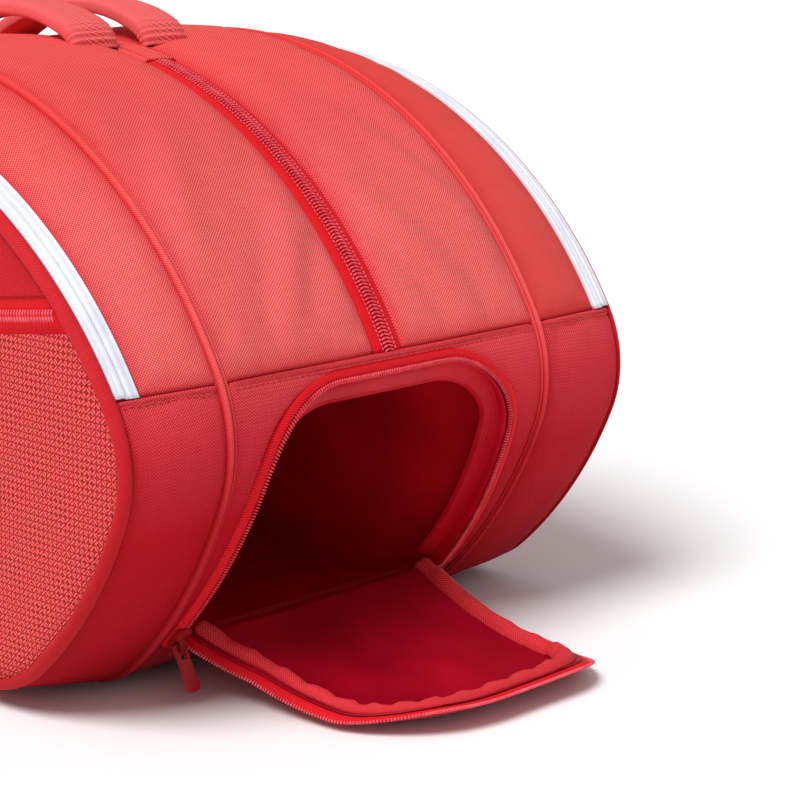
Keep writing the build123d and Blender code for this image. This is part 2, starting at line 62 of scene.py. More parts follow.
# ---------------------------------------------------------------- side view of the body, as the design's arcs
TAPER = radians(7.8)
NOSE_UP = radians(29.3)
NOSE_DOWN = radians(-21.5)
NOSE_R = 64 * MM
NOSE_Z = 125.8 * MM
HEAD_R = 240.5 * MM
TOE_R = 60 * MM
TAIL_R = 45 * MM
HALF_LENGTH = -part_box("tail_panel")[0].x
SEAM_Y = (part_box("back_piping")[0].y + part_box("back_piping")[1].y) / 2
FLAT_Y = {-1: -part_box("front_lower_gusset")[0].y, 1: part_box("back_lower_gusset")[1].y}
BAND_IN = FLAT_Y[1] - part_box("back_zip_inner_tape")[0].y
BAND_OUT = FLAT_Y[1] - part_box("back_zip_outer_tape")[1].y
CENTRE_TAPE_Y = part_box("centre_zip_tape_back")[1].y
CENTRE_COIL_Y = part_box("centre_zip_coil")[1].y
# How far each flat side stands inside the middle outline, at the nose and at the base, and its height's scale
NARROWING = {-1: (4.6 * MM, 10 * MM, 0.882), 1: (3.2 * MM, 3.65 * MM, 0.943)}
TAIL_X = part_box("tail_panel")[1].x


def on_arc(centre, radius, angle):
    return np.array([centre[0] + radius * cos(angle), centre[1] + radius * sin(angle)])


NOSE_C = np.array([HALF_LENGTH - NOSE_R, NOSE_Z])
UPPER_C = on_arc(NOSE_C, NOSE_R - HEAD_R, NOSE_UP)
LOWER_C = on_arc(NOSE_C, NOSE_R - HEAD_R, NOSE_DOWN)
TOE_C = np.array([LOWER_C[0] + sqrt((HEAD_R - TOE_R) ** 2 - (LOWER_C[1] - TOE_R) ** 2), TOE_R])
TOE_ANGLE = atan2(TOE_C[1] - LOWER_C[1], TOE_C[0] - LOWER_C[0])
TOP_START = on_arc(UPPER_C, HEAD_R, pi / 2 + TAPER)


def top_z(x):
    return TOP_START[1] + (x - TOP_START[0]) * tan(TAPER)


TAIL_TOP_C = np.array([TAIL_X, top_z(TAIL_X) - TAIL_R / cos(TAPER)])
ARCS = [
    ((TAIL_X, TAIL_R), TAIL_R, -pi / 2, -pi),
    (TAIL_TOP_C, TAIL_R, pi, pi / 2 + TAPER),
    (UPPER_C, HEAD_R, pi / 2 + TAPER, NOSE_UP),
    (NOSE_C, NOSE_R, NOSE_UP, NOSE_DOWN),
    (LOWER_C, HEAD_R, NOSE_DOWN, TOE_ANGLE),
    (TOE_C, TOE_R, TOE_ANGLE, -pi / 2),
]


def outline():
    """Points and outward directions round the side view: up the tail, along the top, down the head."""
    points, outward = [], []
    for centre, radius, start, end in ARCS:
        angle = np.linspace(start, end, 2 + int(radius * abs(end - start) / MM))
        direction = np.stack([np.cos(angle), np.sin(angle)], axis=1)
        points.append(np.array(centre) + radius * direction)
        outward.append(direction)
    return np.concatenate(points), np.concatenate(outward)


PATH, OUTWARD = outline()
STATION = np.concatenate([[0], np.cumsum(np.linalg.norm(np.diff(PATH, axis=0), axis=1))])
LOOP = STATION[-1] + PATH[-1][0] - PATH[0][0]
CREST = float(np.interp(TOP_START[0], PATH[: len(PATH) // 2, 0], STATION[: len(PATH) // 2]))


def round_path(values, s):
    return np.interp(s, STATION, values, period=LOOP)


def skin(s, y, h=0.0):
    """Points of the body's skin at station s and y, h outside it. The gussets narrow towards the sides."""
    s, y, h = np.broadcast_arrays(s, y, h)
    x = round_path(PATH[:, 0], s) + h * round_path(OUTWARD[:, 0], s)
    z = round_path(PATH[:, 1], s) + h * round_path(OUTWARD[:, 1], s)
    share = np.clip((np.abs(y) - SEAM_Y) / (np.where(y < 0, FLAT_Y[-1], FLAT_Y[1]) - SEAM_Y), 0, 1)
    nose, base, scale = (np.where(y < 0, front, back) for front, back in zip(NARROWING[-1], NARROWING[1]))
    x = x * (1 - share * nose / HALF_LENGTH)
    z = z * (1 - share * (1 - scale)) + share * base
    return np.stack([x, y, z], axis=-1)


def crossing(y, plane_point, plane_normal, first, last):
    """Station between first and last where the outline at y crosses a plane."""
    s = np.linspace(first, last, 1500)
    side = (skin(s, y) - plane_point) @ plane_normal
    i = int(np.argmax(side[:-1] * side[1:] <= 0))
    return s[i] + (s[i + 1] - s[i]) * side[i] / (side[i] - side[i + 1])


FOLD_POINT = np.array(JOINTS["front_cover_fold"]["pos_m"]) * (1, 0, 1)
FOLD_ALONG = np.array(JOINTS["front_cover_fold"]["axis"])
FOLD_UP = np.array([-FOLD_ALONG[2], 0, FOLD_ALONG[0]])
HINGE = np.array(JOINTS["flap_hinge"]["pos_m"])
HINGE_OUT = np.array([HINGE[0] - LOWER_C[0], 0, HINGE[2] - LOWER_C[1]]) / HEAD_R
HINGE_UP = np.array([-HINGE_OUT[2], 0, HINGE_OUT[0]])
FLAP_OPEN = radians(JOINTS["flap_hinge"]["range_deg"][1])


def fold_head(y, clear=0.0):
    return crossing(y, FOLD_POINT + clear * FOLD_UP, FOLD_UP, CREST, LOOP - 0.4)


def fold_tail(y, clear=0.0):
    return crossing(y, FOLD_POINT + clear * FOLD_UP, FOLD_UP, 0.02, CREST)


def lip(y):
    return crossing(y, HINGE, HINGE_UP, fold_head(y) + 0.02, LOOP - 0.4)


def tail_top(y):
    return crossing(y, np.array([TAIL_X, 0, 0]), np.array([1.0, 0, 0]), TAIL_R * pi / 2 + 0.05, CREST)


def second_fold_tail(y):
    """The same fold reached by way of the base, one loop further on."""
    return fold_tail(y) + LOOP


def loop_start(y):
    return 0.0


def loop_end(y):
    return LOOP


def mm(*rows):
    """Rows of millimetres as rows of metres."""
    return [tuple(value * MM for value in row) for row in rows]


# ---------------------------------------------------------------- meshes
def mesh_piece(name, points, faces, material, uv=None, seam=None):
    """A mesh object with its weave coordinates in metres, and how near each point is to a seam, which the
    cloth finishes darken as painted shade.
    """
    mesh = bpy.data.meshes.new(name)
    mesh.from_pydata(np.asarray(points, float).reshape(-1, 3).tolist(), [], faces)
    mesh.polygons.foreach_set("use_smooth", [True] * len(mesh.polygons))
    if uv is not None:
        layer = mesh.uv_layers.new(name="weave")
        layer.data.foreach_set("uv", np.asarray(uv, float).ravel())
    if seam is not None:
        shade = mesh.attributes.new("seam", "FLOAT", "POINT")
        shade.data.foreach_set("value", np.asarray(seam, np.float32).ravel())
    mesh.materials.append(material)
    piece = bpy.data.objects.new(name, mesh)
    bpy.context.scene.collection.objects.link(piece)
    return piece


FLOOR_CLEAR = 0.4 * MM


def above_floor(points):
    """The points, with those that would reach into the floor flattened against it."""
    return np.concatenate([points[..., :2], np.maximum(points[..., 2:], FLOOR_CLEAR)], axis=-1)


def grid_piece(name, points, uv, material, closed=False, flip=False, seam=None):
    """A piece from a grid of points. A closed one joins its last row to its first."""
    rows, columns = points.shape[:2]
    points = above_floor(points)
    kept = rows - 1 if closed else rows
    i, j = np.meshgrid(np.arange(rows - 1), np.arange(columns - 1), indexing="ij")
    i, j = i.ravel(), j.ravel()
    corners = [(i, j), (i + 1, j), (i + 1, j + 1), (i, j + 1)]
    if flip:
        corners = corners[::-1]
    faces = np.stack([(a % kept) * columns + b for a, b in corners], axis=1)
    corner_uv = np.stack([uv[a, b] for a, b in corners], axis=1)
    shade = None if seam is None else seam[:kept]
    return mesh_piece(name, points[:kept], faces.tolist(), material, corner_uv, shade)


def raised(points, height):
    """The grid's points moved along its own normals."""
    across = np.gradient(points, axis=1)
    along = np.gradient(points, axis=0)
    normal = np.cross(along, across)
    normal /= np.maximum(np.linalg.norm(normal, axis=2, keepdims=True), 1e-12)
    return points + normal * height[..., None]


EDGE_STEPS = np.array([0, 0.5, 1.3, 2.2, 3.2, 4.6, 6.8]) * MM


def spaced(length, step):
    """Distances from 0 to length, close together near both ends."""
    ends = EDGE_STEPS[EDGE_STEPS < length * 0.35]
    inner = np.linspace(ends[-1], length - ends[-1], max(2, 1 + round((length - 2 * ends[-1]) / step)))
    return np.concatenate([ends[:-1], inner, length - ends[:-1][::-1]])


def tucked(d):
    """Height beside a seam where the panel turns in."""
    return -4.0 * MM * np.exp(-((d / (0.9 * MM)) ** 1.5)) - 1.1 * MM * np.exp(-d / (6 * MM))


def butted(d):
    """Height beside a cross seam, where the next panel's folded edge lies against this one."""
    return -1.5 * MM * np.exp(-((d / (0.8 * MM)) ** 1.5)) - 0.5 * MM * np.exp(-d / (4 * MM))


def lipped(d, run):
    """Height of a folded edge with stitches and puckers below it, at the distance run along the seam."""
    edge = -1.6 * MM * np.exp(-((d / (0.5 * MM)) ** 2))
    turned = edge + 0.9 * MM * np.exp(-(((d - 1.3 * MM) / (1.2 * MM)) ** 2))
    pucker = 0.75 + 0.45 * np.sin(run * 2 * pi / (4.3 * MM)) + 0.3 * np.sin(run * 2 * pi / (11.7 * MM) + 1)
    return turned - 0.9 * MM * pucker * np.exp(-(((d - 3.6 * MM) / (1.5 * MM)) ** 2))


def soft_noise(u, v, scale, seed=0):
    """Smooth unevenness between -1 and 1."""
    rng = np.random.default_rng(seed)
    total = np.zeros(np.broadcast(u, v).shape)
    for _ in range(7):
        angle, phase, stretch = rng.uniform(0, pi), rng.uniform(0, 2 * pi), rng.uniform(0.6, 1.7)
        total = total + np.sin((u * cos(angle) + v * sin(angle)) * 2 * pi * stretch / scale + phase)
    return total / 7


def lined(piece, thickness, material=None, level=1):
    """Rounds a piece and gives it its thickness inwards, with the lining on the inside."""
    if level:
        smoother = piece.modifiers.new("round", "SUBSURF")
        smoother.levels = smoother.render_levels = level
    wall = piece.modifiers.new("wall", "SOLIDIFY")
    wall.thickness = thickness
    wall.offset = -1
    if material is not None:
        piece.data.materials.append(material)
        wall.material_offset = 1
    return piece


SIMULATED = []
SIMULATION_FRAMES = 20


def inflate_later(piece, pinned, cap, pressure=4.0, ease=0.0):
    SIMULATED.append((piece, pinned, cap, pressure, ease))


def inflate():
    """Fills all the pinned panels out in one cloth simulation, and keeps the resulting shapes."""
    if not SIMULATED:
        return
    scene = bpy.context.scene
    for piece, pinned, cap, pressure, ease in SIMULATED:
        group = piece.vertex_groups.new(name="sewn")
        group.add([int(i) for i in np.flatnonzero(pinned)], 1.0, "REPLACE")
        cloth = piece.modifiers.new("cloth", "CLOTH")
        cloth.settings.quality = 6
        cloth.settings.mass = 0.25
        cloth.settings.tension_stiffness = 18
        cloth.settings.compression_stiffness = 18
        cloth.settings.shear_stiffness = 6
        cloth.settings.bending_stiffness = 1.5
        cloth.settings.vertex_group_mass = "sewn"
        cloth.settings.use_pressure = True
        cloth.settings.uniform_pressure_force = pressure
        cloth.settings.shrink_min = -ease
        cloth.settings.effector_weights.gravity = 0
        cloth.collision_settings.use_collision = False
        cloth.collision_settings.use_self_collision = False
    for step in range(1, SIMULATION_FRAMES + 1):
        scene.frame_set(step)
    depsgraph = bpy.context.evaluated_depsgraph_get()
    for piece, pinned, cap, pressure, ease in SIMULATED:
        rest = coordinates(piece.data)
        moved = coordinates(piece.evaluated_get(depsgraph).data)
        shift = moved - rest
        length = np.maximum(np.linalg.norm(shift, axis=1, keepdims=True), 1e-9)
        shift *= cap * np.tanh(length / cap) / length
        piece.modifiers.remove(piece.modifiers["cloth"])
        piece.vertex_groups.clear()
        piece.data.vertices.foreach_set("co", above_floor(rest + shift).astype(np.float32).ravel())
        piece.data.update()
    scene.frame_set(1)


def coordinates(mesh):
    co = np.zeros(len(mesh.vertices) * 3, np.float32)
    mesh.vertices.foreach_get("co", co)
    return co.reshape(-1, 3).astype(float)


def declare(piece, body, slot, *nodes):
    """What the piece rides on, its finish, which is not used, and the design's nodes that it stands for."""
    if body:
        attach(piece, body)
    if nodes:
        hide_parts(*nodes)
    return piece


BEAD_SIDES = 6


def beads(name, centres, along, across, out, material):
    """Rounded beads in one mesh, each with its own half-axes: zip teeth and stitches."""
    turn = np.arange(BEAD_SIDES) * 2 * pi / BEAD_SIDES
    template = [(-1, 0, 0)]
    for x, radius in ((-0.72, 0.72), (0, 1), (0.72, 0.72)):
        template += [(x, radius * cos(t), radius * sin(t)) for t in turn]
    template.append((1, 0, 0))
    template = np.array(template)
    last = len(template) - 1
    faces = [(0, 1 + (k + 1) % BEAD_SIDES, 1 + k) for k in range(BEAD_SIDES)]
    for ring in (1, 1 + BEAD_SIDES):
        for k in range(BEAD_SIDES):
            after = (k + 1) % BEAD_SIDES
            faces.append((ring + k, ring + after, ring + after + BEAD_SIDES, ring + k + BEAD_SIDES))
    base = 1 + 2 * BEAD_SIDES
    faces += [(last, base + k, base + (k + 1) % BEAD_SIDES) for k in range(BEAD_SIDES)]
    axes = np.stack([along, across, out], axis=1)
    points = centres[:, None, :] + np.einsum("tk,nkc->ntc", template, axes)
    every = [tuple(i + n * len(template) for i in face) for n in range(len(centres)) for face in faces]
    return mesh_piece(name, points, every, material)


def even(points, pitch):
    """Points pitch apart along a line of points, with the direction of the line at each."""
    points = np.asarray(points, float)
    run = np.concatenate([[0], np.cumsum(np.linalg.norm(np.diff(points, axis=0), axis=1))])
    at = np.arange(pitch / 2, run[-1], pitch)
    found = np.stack([np.interp(at, run, points[:, k]) for k in range(3)], axis=1)
    ahead = np.stack([np.interp(at + pitch / 2, run, points[:, k]) for k in range(3)], axis=1)
    behind = np.stack([np.interp(at - pitch / 2, run, points[:, k]) for k in range(3)], axis=1)
    along = ahead - behind
    return found, along / np.maximum(np.linalg.norm(along, axis=1, keepdims=True), 1e-12)


def stitches(name, points, outward, material, pitch=3.4 * MM, thread=0.33 * MM):
    """A row of stitches along a line. outward is the direction off the fabric, for each stitch or for all."""
    centres, along = even(points, pitch)
    out = nearest_rows(points, centres, outward)
    across = unit(np.cross(out, along))
    out = unit(np.cross(along, across))
    return beads(name, centres, along * pitch * 0.4, across * thread, out * thread, material)


def nearest_rows(points, centres, values):
    values = np.asarray(values, float)
    if values.ndim == 1:
        return np.tile(values, (len(centres), 1))
    points = np.asarray(points, float)
    run = np.concatenate([[0], np.cumsum(np.linalg.norm(np.diff(points, axis=0), axis=1))])
    at = np.linspace(0, run[-1], len(centres))
    return np.stack([np.interp(at, run, values[:, k]) for k in range(3)], axis=1)


def unit(v):
    return v / np.maximum(np.linalg.norm(v, axis=-1, keepdims=True), 1e-12)


TOOTH_LEAN = 0.35  # how far a tooth leans along the zip, against how far it reaches across it


def zip_teeth(name, points, outward, material, half_width, pitch):
    """Interlocked zip coil along a line: a row of teeth on each side, leaning towards the middle."""
    centres, along = even(points, pitch)
    out = unit(nearest_rows(points, centres, outward))
    across = unit(np.cross(out, along))
    length = half_width / 2
    middles = np.concatenate([centres + across * side * length for side in (-1, 1)])
    axes = np.concatenate([unit(across * side + along * TOOTH_LEAN) * length * 1.12 for side in (-1, 1)])
    outs = np.concatenate([out, out])
    beside = unit(np.cross(outs, axes))
    return beads(name, middles, axes, beside * pitch * 0.3, outs * 0.75 * MM, material)


# ---------------------------------------------------------------- materials
def rgb(red, green, blue):
    """Linear colour from 0-255 values as seen on a screen."""
    values = (red, green, blue)
    return tuple(((v / 255 + 0.055) / 1.055) ** 2.4 if v > 10 else v / 255 / 12.92 for v in values) + (1,)


class Finish:
    """A procedural material being put together."""

    def __init__(self, name, roughness, sheen=0.0, specular=0.5, metallic=0.0, coat=0.0):
        self.material = bpy.data.materials.new(name)
        self.material.use_nodes = True
        self.tree = self.material.node_tree
        self.shader = self.tree.nodes["Principled BSDF"]
        self.shader.inputs["Roughness"].default_value = roughness
        self.shader.inputs["Sheen Weight"].default_value = sheen
        self.shader.inputs["Sheen Roughness"].default_value = 0.45
        self.shader.inputs["Sheen Tint"].default_value = (1.0, 0.62, 0.55, 1)
        self.shader.inputs["Specular IOR Level"].default_value = specular
        self.shader.inputs["Metallic"].default_value = metallic
        self.shader.inputs["Coat Weight"].default_value = coat

    def node(self, kind, inputs=(), **settings):
        node = self.tree.nodes.new("ShaderNode" + kind)
        for key, value in settings.items():
            setattr(node, key, value)
        for socket, value in dict(inputs).items():
            if isinstance(value, bpy.types.NodeSocket):
                self.tree.links.new(value, node.inputs[socket])
            else:
                node.inputs[socket].default_value = value
        return node

    def math(self, operation, a, b=0.0, c=0.0):
        return self.node("Math", {0: a, 1: b, 2: c}, operation=operation).outputs[0]

    def weave_uv(self):
        uv = self.node("UVMap", uv_map="weave").outputs["UV"]
        split = self.node("SeparateXYZ", {0: uv})
        return split.outputs[0], split.outputs[1]

    def ripple(self, u, v, per_u, per_v):
        """Ridges across (u, v), per_u and per_v of them to the metre, from 0 to 1."""
        phase = self.math("MULTIPLY_ADD", u, per_u * pi, self.math("MULTIPLY", v, per_v * pi))
        return self.math("ABSOLUTE", self.math("COSINE", phase))

    def noise(self, scale, detail=3.0, stretch=None, roughness=0.55):
        if stretch is None:
            place = self.node("TexCoord").outputs["Object"]
        else:
            uv = self.node("UVMap", uv_map="weave").outputs["UV"]
            place = self.node("Mapping", {"Vector": uv, "Scale": (stretch[0], stretch[1], 1)}).outputs[0]
        inputs = {"Vector": place, "Scale": scale, "Detail": detail, "Roughness": roughness}
        return self.node("TexNoise", inputs).outputs["Fac"]

    def ramp(self, value, *stops):
        node = self.node("ValToRGB", {"Fac": value})
        elements = node.color_ramp.elements
        while len(elements) < len(stops):
            elements.new(0.5)
        for element, (position, colour) in zip(elements, stops):
            element.position = position
            element.color = colour
        return node.outputs["Color"]

    def mix(self, factor, a, b, kind="MIX"):
        return self.node("MixRGB", {"Fac": factor, "Color1": a, "Color2": b},
                         blend_type=kind).outputs["Color"]

    def colour(self, value):
        self.tree.links.new(value, self.shader.inputs["Base Color"])

    def roughness(self, value):
        self.tree.links.new(value, self.shader.inputs["Roughness"])

    def bump(self, height, distance, strength=1.0):
        node = self.node("Bump", {"Strength": strength, "Distance": distance, "Height": height})
        self.tree.links.new(node.outputs["Normal"], self.shader.inputs["Normal"])


# Painted light over the cloth's height: painted shade makes it deep red by the floor, the slope is left
# palest as a painted sheen highlight, and the top is redder again
PAINTED_LIGHT_HEIGHT = 0.294
PAINTED_LIGHT_RAMP = [
    (0.10, (0.50, 0.01, 0.11, 1)), (0.31, (0.66, 0.04, 0.16, 1)), (0.44, (0.92, 0.42, 0.58, 1)),
    (0.55, (1, 1, 1, 1)), (0.70, (1, 1, 1, 1)), (0.92, (0.98, 0.54, 0.52, 1)),
]


# Colour multiplied into the cloth along its seams: painted shade in the seam hollows
SEAM_SHADE = (0.76, 0.20, 0.32, 1)
THREAD_RELIEF = 0.14 * MM
RIBS_PER_METRE = 620


def woven(name, dark, middle, light, per_metre, diagonal=0.2, ribs=0.0, streaks=0.25, sheen=0.05,
          roughness=0.75,
          painted_light_by_height=0.0):
    """Polyester cloth: crossing threads, uneven yarn, faint blotches, painted shade along the seams and
    painted shade and sheen over its height.
    """
    finish = Finish(name, roughness, sheen, specular=0.1)
    u, v = finish.weave_uv()
    first = finish.ripple(u, v, per_metre, per_metre * 0.94)
    second = finish.ripple(u, v, per_metre * 0.94, -per_metre)
    threads = finish.math("MULTIPLY", first, finish.math("MULTIPLY_ADD", second, 1 - diagonal, diagonal))
    if ribs:
        rib = finish.ripple(u, v, RIBS_PER_METRE, 0.0)
        threads = finish.math("MULTIPLY", threads, finish.math("MULTIPLY_ADD", rib, ribs, 1 - ribs))
    along = finish.noise(1.0, 2.0, (55, 1500))
    crosswise = finish.noise(1.0, 2.0, (1500, 55))
    yarn = finish.math("ADD", along, crosswise)
    uneven = finish.math("MULTIPLY_ADD", yarn, streaks, -streaks)
    tone = finish.math("ADD", threads, uneven)
    cloth = finish.ramp(tone, (0.05, dark), (0.48, middle), (0.95, light))
    patches = finish.noise(9.0, 3.0)
    shade = finish.ramp(patches, (0.3, (0.90, 0.86, 0.88, 1)), (0.72, (1.0, 1.0, 1.0, 1)))
    cloth = finish.mix(1.0, cloth, shade, "MULTIPLY")
    # Painted shade along the seams, by each point's seam value
    painted_seam_shade = finish.node("Attribute", attribute_name="seam").outputs["Fac"]
    deep = finish.mix(1.0, cloth, SEAM_SHADE, "MULTIPLY")
    cloth = finish.mix(painted_seam_shade, cloth, deep)
    # Painted shade low down and a painted sheen highlight on the slope, multiplied into the colour by height
    if painted_light_by_height:
        height = finish.node("SeparateXYZ", {0: finish.node("TexCoord").outputs["Object"]}).outputs[2]
        rising = finish.ramp(finish.math("MULTIPLY", height, 1 / PAINTED_LIGHT_HEIGHT), *PAINTED_LIGHT_RAMP)
        cloth = finish.mix(painted_light_by_height, cloth, rising, "MULTIPLY")
    finish.colour(cloth)
    finish.bump(tone, THREAD_RELIEF, 0.9)
    return finish.material


LIGHT = rgb(255, 144, 140)
CORAL = rgb(240, 99, 98)
DEEP = rgb(208, 50, 54)

coral = woven("coral_twill", DEEP, CORAL, LIGHT, 690, painted_light_by_height=0.8)
coral_smooth = woven("coral_fine", rgb(214, 58, 56), rgb(232, 76, 70), rgb(242, 98, 90), 900, painted_light_by_height=0.6)
coral_ribbed = woven("coral_ribbed", rgb(196, 34, 48), rgb(232, 78, 86), rgb(252, 124, 126), 690, ribs=0.3,
                     sheen=0.0,
                     painted_light_by_height=1.0)
base_cloth = woven("base_cloth", rgb(120, 4, 22), rgb(170, 14, 32), rgb(200, 44, 54), 520)
dark_twill = woven("dark_twill", rgb(146, 6, 24), rgb(188, 16, 34), rgb(212, 42, 52), 700, diagonal=0.75)
welt_cloth = woven("welt_twill", rgb(204, 46, 52), rgb(234, 84, 82), rgb(250, 114, 110), 820, diagonal=0.7,
                   painted_light_by_height=0.9)
binding = woven("coral_binding", rgb(180, 14, 32), rgb(210, 34, 44), rgb(230, 64, 68), 900, painted_light_by_height=0.5)
red_tape = woven("red_zip_tape", rgb(176, 0, 18), rgb(222, 6, 26), rgb(238, 34, 44), 800, diagonal=0.8,
                 roughness=0.6,
                 streaks=0.15)
strap_cloth = woven("strap_cloth", rgb(150, 10, 30), rgb(206, 32, 44), rgb(232, 70, 72), 420, diagonal=0.3)
handle_cloth = woven("handle_cloth", rgb(214, 58, 66), rgb(238, 92, 94), rgb(250, 132, 130), 620,
                     diagonal=0.6, ribs=0.3)


def basket_weave():
    """Coarse panel of paired diagonal threads that change direction from block to block."""
    finish = Finish("basket_weave", 0.66, 0.05, specular=0.15)
    u, v = finish.weave_uv()
    block = 2.9 * MM
    thread_pitch = 2.05 * MM
    column = finish.math("FLOOR", finish.math("MULTIPLY", u, 1 / block))
    row = finish.math("FLOOR", finish.math("MULTIPLY", v, 1 / block))
    odd = finish.math("FLOORED_MODULO", finish.math("ADD", column, row), 2.0)
    per = 1 / thread_pitch
    falling = finish.ripple(u, v, per, per)
    rising = finish.ripple(u, v, per, -per)
    pick = finish.math("MULTIPLY", odd, finish.math("SUBTRACT", rising, falling))
    thread = finish.math("ADD", falling, pick)
    edge_u = finish.ripple(u, v, 1 / block, 0.0)
    edge_v = finish.ripple(u, v, 0.0, 1 / block)
    inside = finish.math("SUBTRACT", 1.0, finish.math("MULTIPLY", edge_u, edge_u))
    inside_v = finish.math("SUBTRACT", 1.0, finish.math("MULTIPLY", edge_v, edge_v))
    block_mask = finish.math("POWER", finish.math("MULTIPLY", inside, inside_v), 0.13)
    shape = finish.math("MULTIPLY", finish.math("POWER", thread, 0.55), block_mask)
    fibre = finish.noise(1.0, 2.0, (1100, 1100))
    tone = finish.math("MULTIPLY_ADD", fibre, 0.25, finish.math("SUBTRACT", shape, 0.12))
    cloth = finish.ramp(tone, (0.22, rgb(138, 2, 22)), (0.5, rgb(214, 44, 52)), (0.85, rgb(244, 98, 96)))
    # Painted shade along the seams, by each point's seam value
    painted_seam_shade = finish.node("Attribute", attribute_name="seam").outputs["Fac"]
    finish.colour(finish.mix(painted_seam_shade, cloth, finish.mix(1.0, cloth, (0.8, 0.4, 0.5, 1), "MULTIPLY")))
    finish.bump(shape, 0.7 * MM, 1.0)
    return finish.material


def satin_lining(name, dark, light):
    """Smooth coated lining with a fine weave and soft creases, with painted shade in the creases' hollows and
    painted highlight on their crests.
    """
    finish = Finish(name, 0.42, specular=0.16)
    u, v = finish.weave_uv()
    fine = finish.ripple(u, v, 900, 0.0)
    crossed = finish.math("MULTIPLY", fine, finish.ripple(u, v, 0.0, 900))
    crease = finish.noise(16.0, 4.0, (1.0, 1.0), 0.5)
    tone = finish.math("MULTIPLY_ADD", crossed, 0.2, finish.math("MULTIPLY", crease, 0.9))
    # The colour follows the creases' height: painted shade low, painted highlight high
    finish.colour(finish.ramp(tone, (0.25, dark), (0.8, light)))
    finish.roughness(finish.math("MULTIPLY_ADD", crease, 0.3, 0.28))
    height = finish.math("MULTIPLY_ADD", crossed, 0.03, crease)
    finish.bump(height, 1.6 * MM, 0.8)
    return finish.material


def white_tape_finish():
    finish = Finish("white_tape", 0.55, 0.25, specular=0.4)
    u, v = finish.weave_uv()
    rows = finish.ripple(u, v, 0.0, 700)
    twill = finish.ripple(u, v, 850, 850)
    tone = finish.math("MULTIPLY_ADD", rows, 0.5, finish.math("MULTIPLY", twill, 0.5))
    dirt = finish.noise(60.0, 4.0)
    clean = finish.ramp(tone, (0.0, rgb(212, 215, 230)), (0.8, rgb(238, 240, 248)))
    finish.colour(finish.mix(1.0, clean, finish.ramp(dirt, (0.3, rgb(240, 240, 244)), (0.6, (1, 1, 1, 1))),
                             "MULTIPLY"))
    finish.bump(tone, 0.12 * MM, 0.8)
    return finish.material


def moulded(name, dark, light, roughness, metallic=0.0, coat=0.0):
    """Moulded plastic or painted metal with slight flow marks and rubbed spots."""
    finish = Finish(name, roughness, 0.0, 0.5, metallic, coat)
    speckle = finish.noise(900.0, 4.0)
    rubbed = finish.noise(140.0, 4.0)
    tone = finish.math("MULTIPLY_ADD", rubbed, 0.7, finish.math("MULTIPLY", speckle, 0.3))
    finish.colour(finish.ramp(tone, (0.32, dark), (0.68, light)))
    finish.roughness(finish.math("MULTIPLY_ADD", rubbed, 0.3, roughness - 0.12))
    finish.bump(speckle, 0.05 * MM, 0.6)
    return finish.material


def webbing_finish():
    """Flat webbing: heavy ribs along it, crossed by fine picks."""
    finish = Finish("strap_webbing", 0.6, 0.25, specular=0.4)
    u, v = finish.weave_uv()
    ribs = finish.ripple(u, v, 0.0, 420)
    picks = finish.ripple(u, v, 700, 0.0)
    tone = finish.math("MULTIPLY", ribs, finish.math("MULTIPLY_ADD", picks, 0.4, 0.6))
    finish.colour(finish.ramp(tone, (0.1, rgb(140, 6, 26)), (0.6, rgb(204, 30, 42)), (1.0, rgb(232, 66, 68))))
    finish.bump(tone, 0.35 * MM, 0.9)
    return finish.material


def floor_finish():
    finish = Finish("floor", 0.85, 0.0, specular=0.2)
    patches = finish.noise(3.0, 5.0)
    finish.colour(finish.ramp(patches, (0.2, rgb(248, 248, 249)), (0.8, rgb(252, 252, 252))))
    return finish.material


basket = basket_weave()
lining = satin_lining("red_lining", rgb(110, 0, 14), rgb(178, 6, 26))
flap_lining = satin_lining("flap_lining_satin", rgb(116, 0, 18), rgb(188, 8, 40))
flap_binding = woven("flap_binding", rgb(190, 20, 38), rgb(222, 48, 56), rgb(238, 84, 84), 900)
facing_lining = satin_lining("facing_satin", rgb(160, 2, 24), rgb(224, 16, 42))
white_tape = white_tape_finish()
coil_red = moulded("coil_red", rgb(190, 10, 34), rgb(236, 60, 74), 0.35)
coil_pink = moulded("coil_pink", rgb(216, 36, 58), rgb(248, 96, 108), 0.4)
thread_red = moulded("thread_red", rgb(190, 20, 40), rgb(232, 60, 66), 0.6)
slider_paint = moulded("slider_paint", rgb(150, 6, 24), rgb(200, 26, 42), 0.3, metallic=0.35, coat=0.4)
tab_red = moulded("tab_red", rgb(140, 2, 18), rgb(182, 10, 28), 0.45)
buckle_red = moulded("buckle_red", rgb(150, 8, 26), rgb(190, 20, 38), 0.35)
webbing = webbing_finish()


# ---------------------------------------------------------------- panels of the skin
PANELS = []


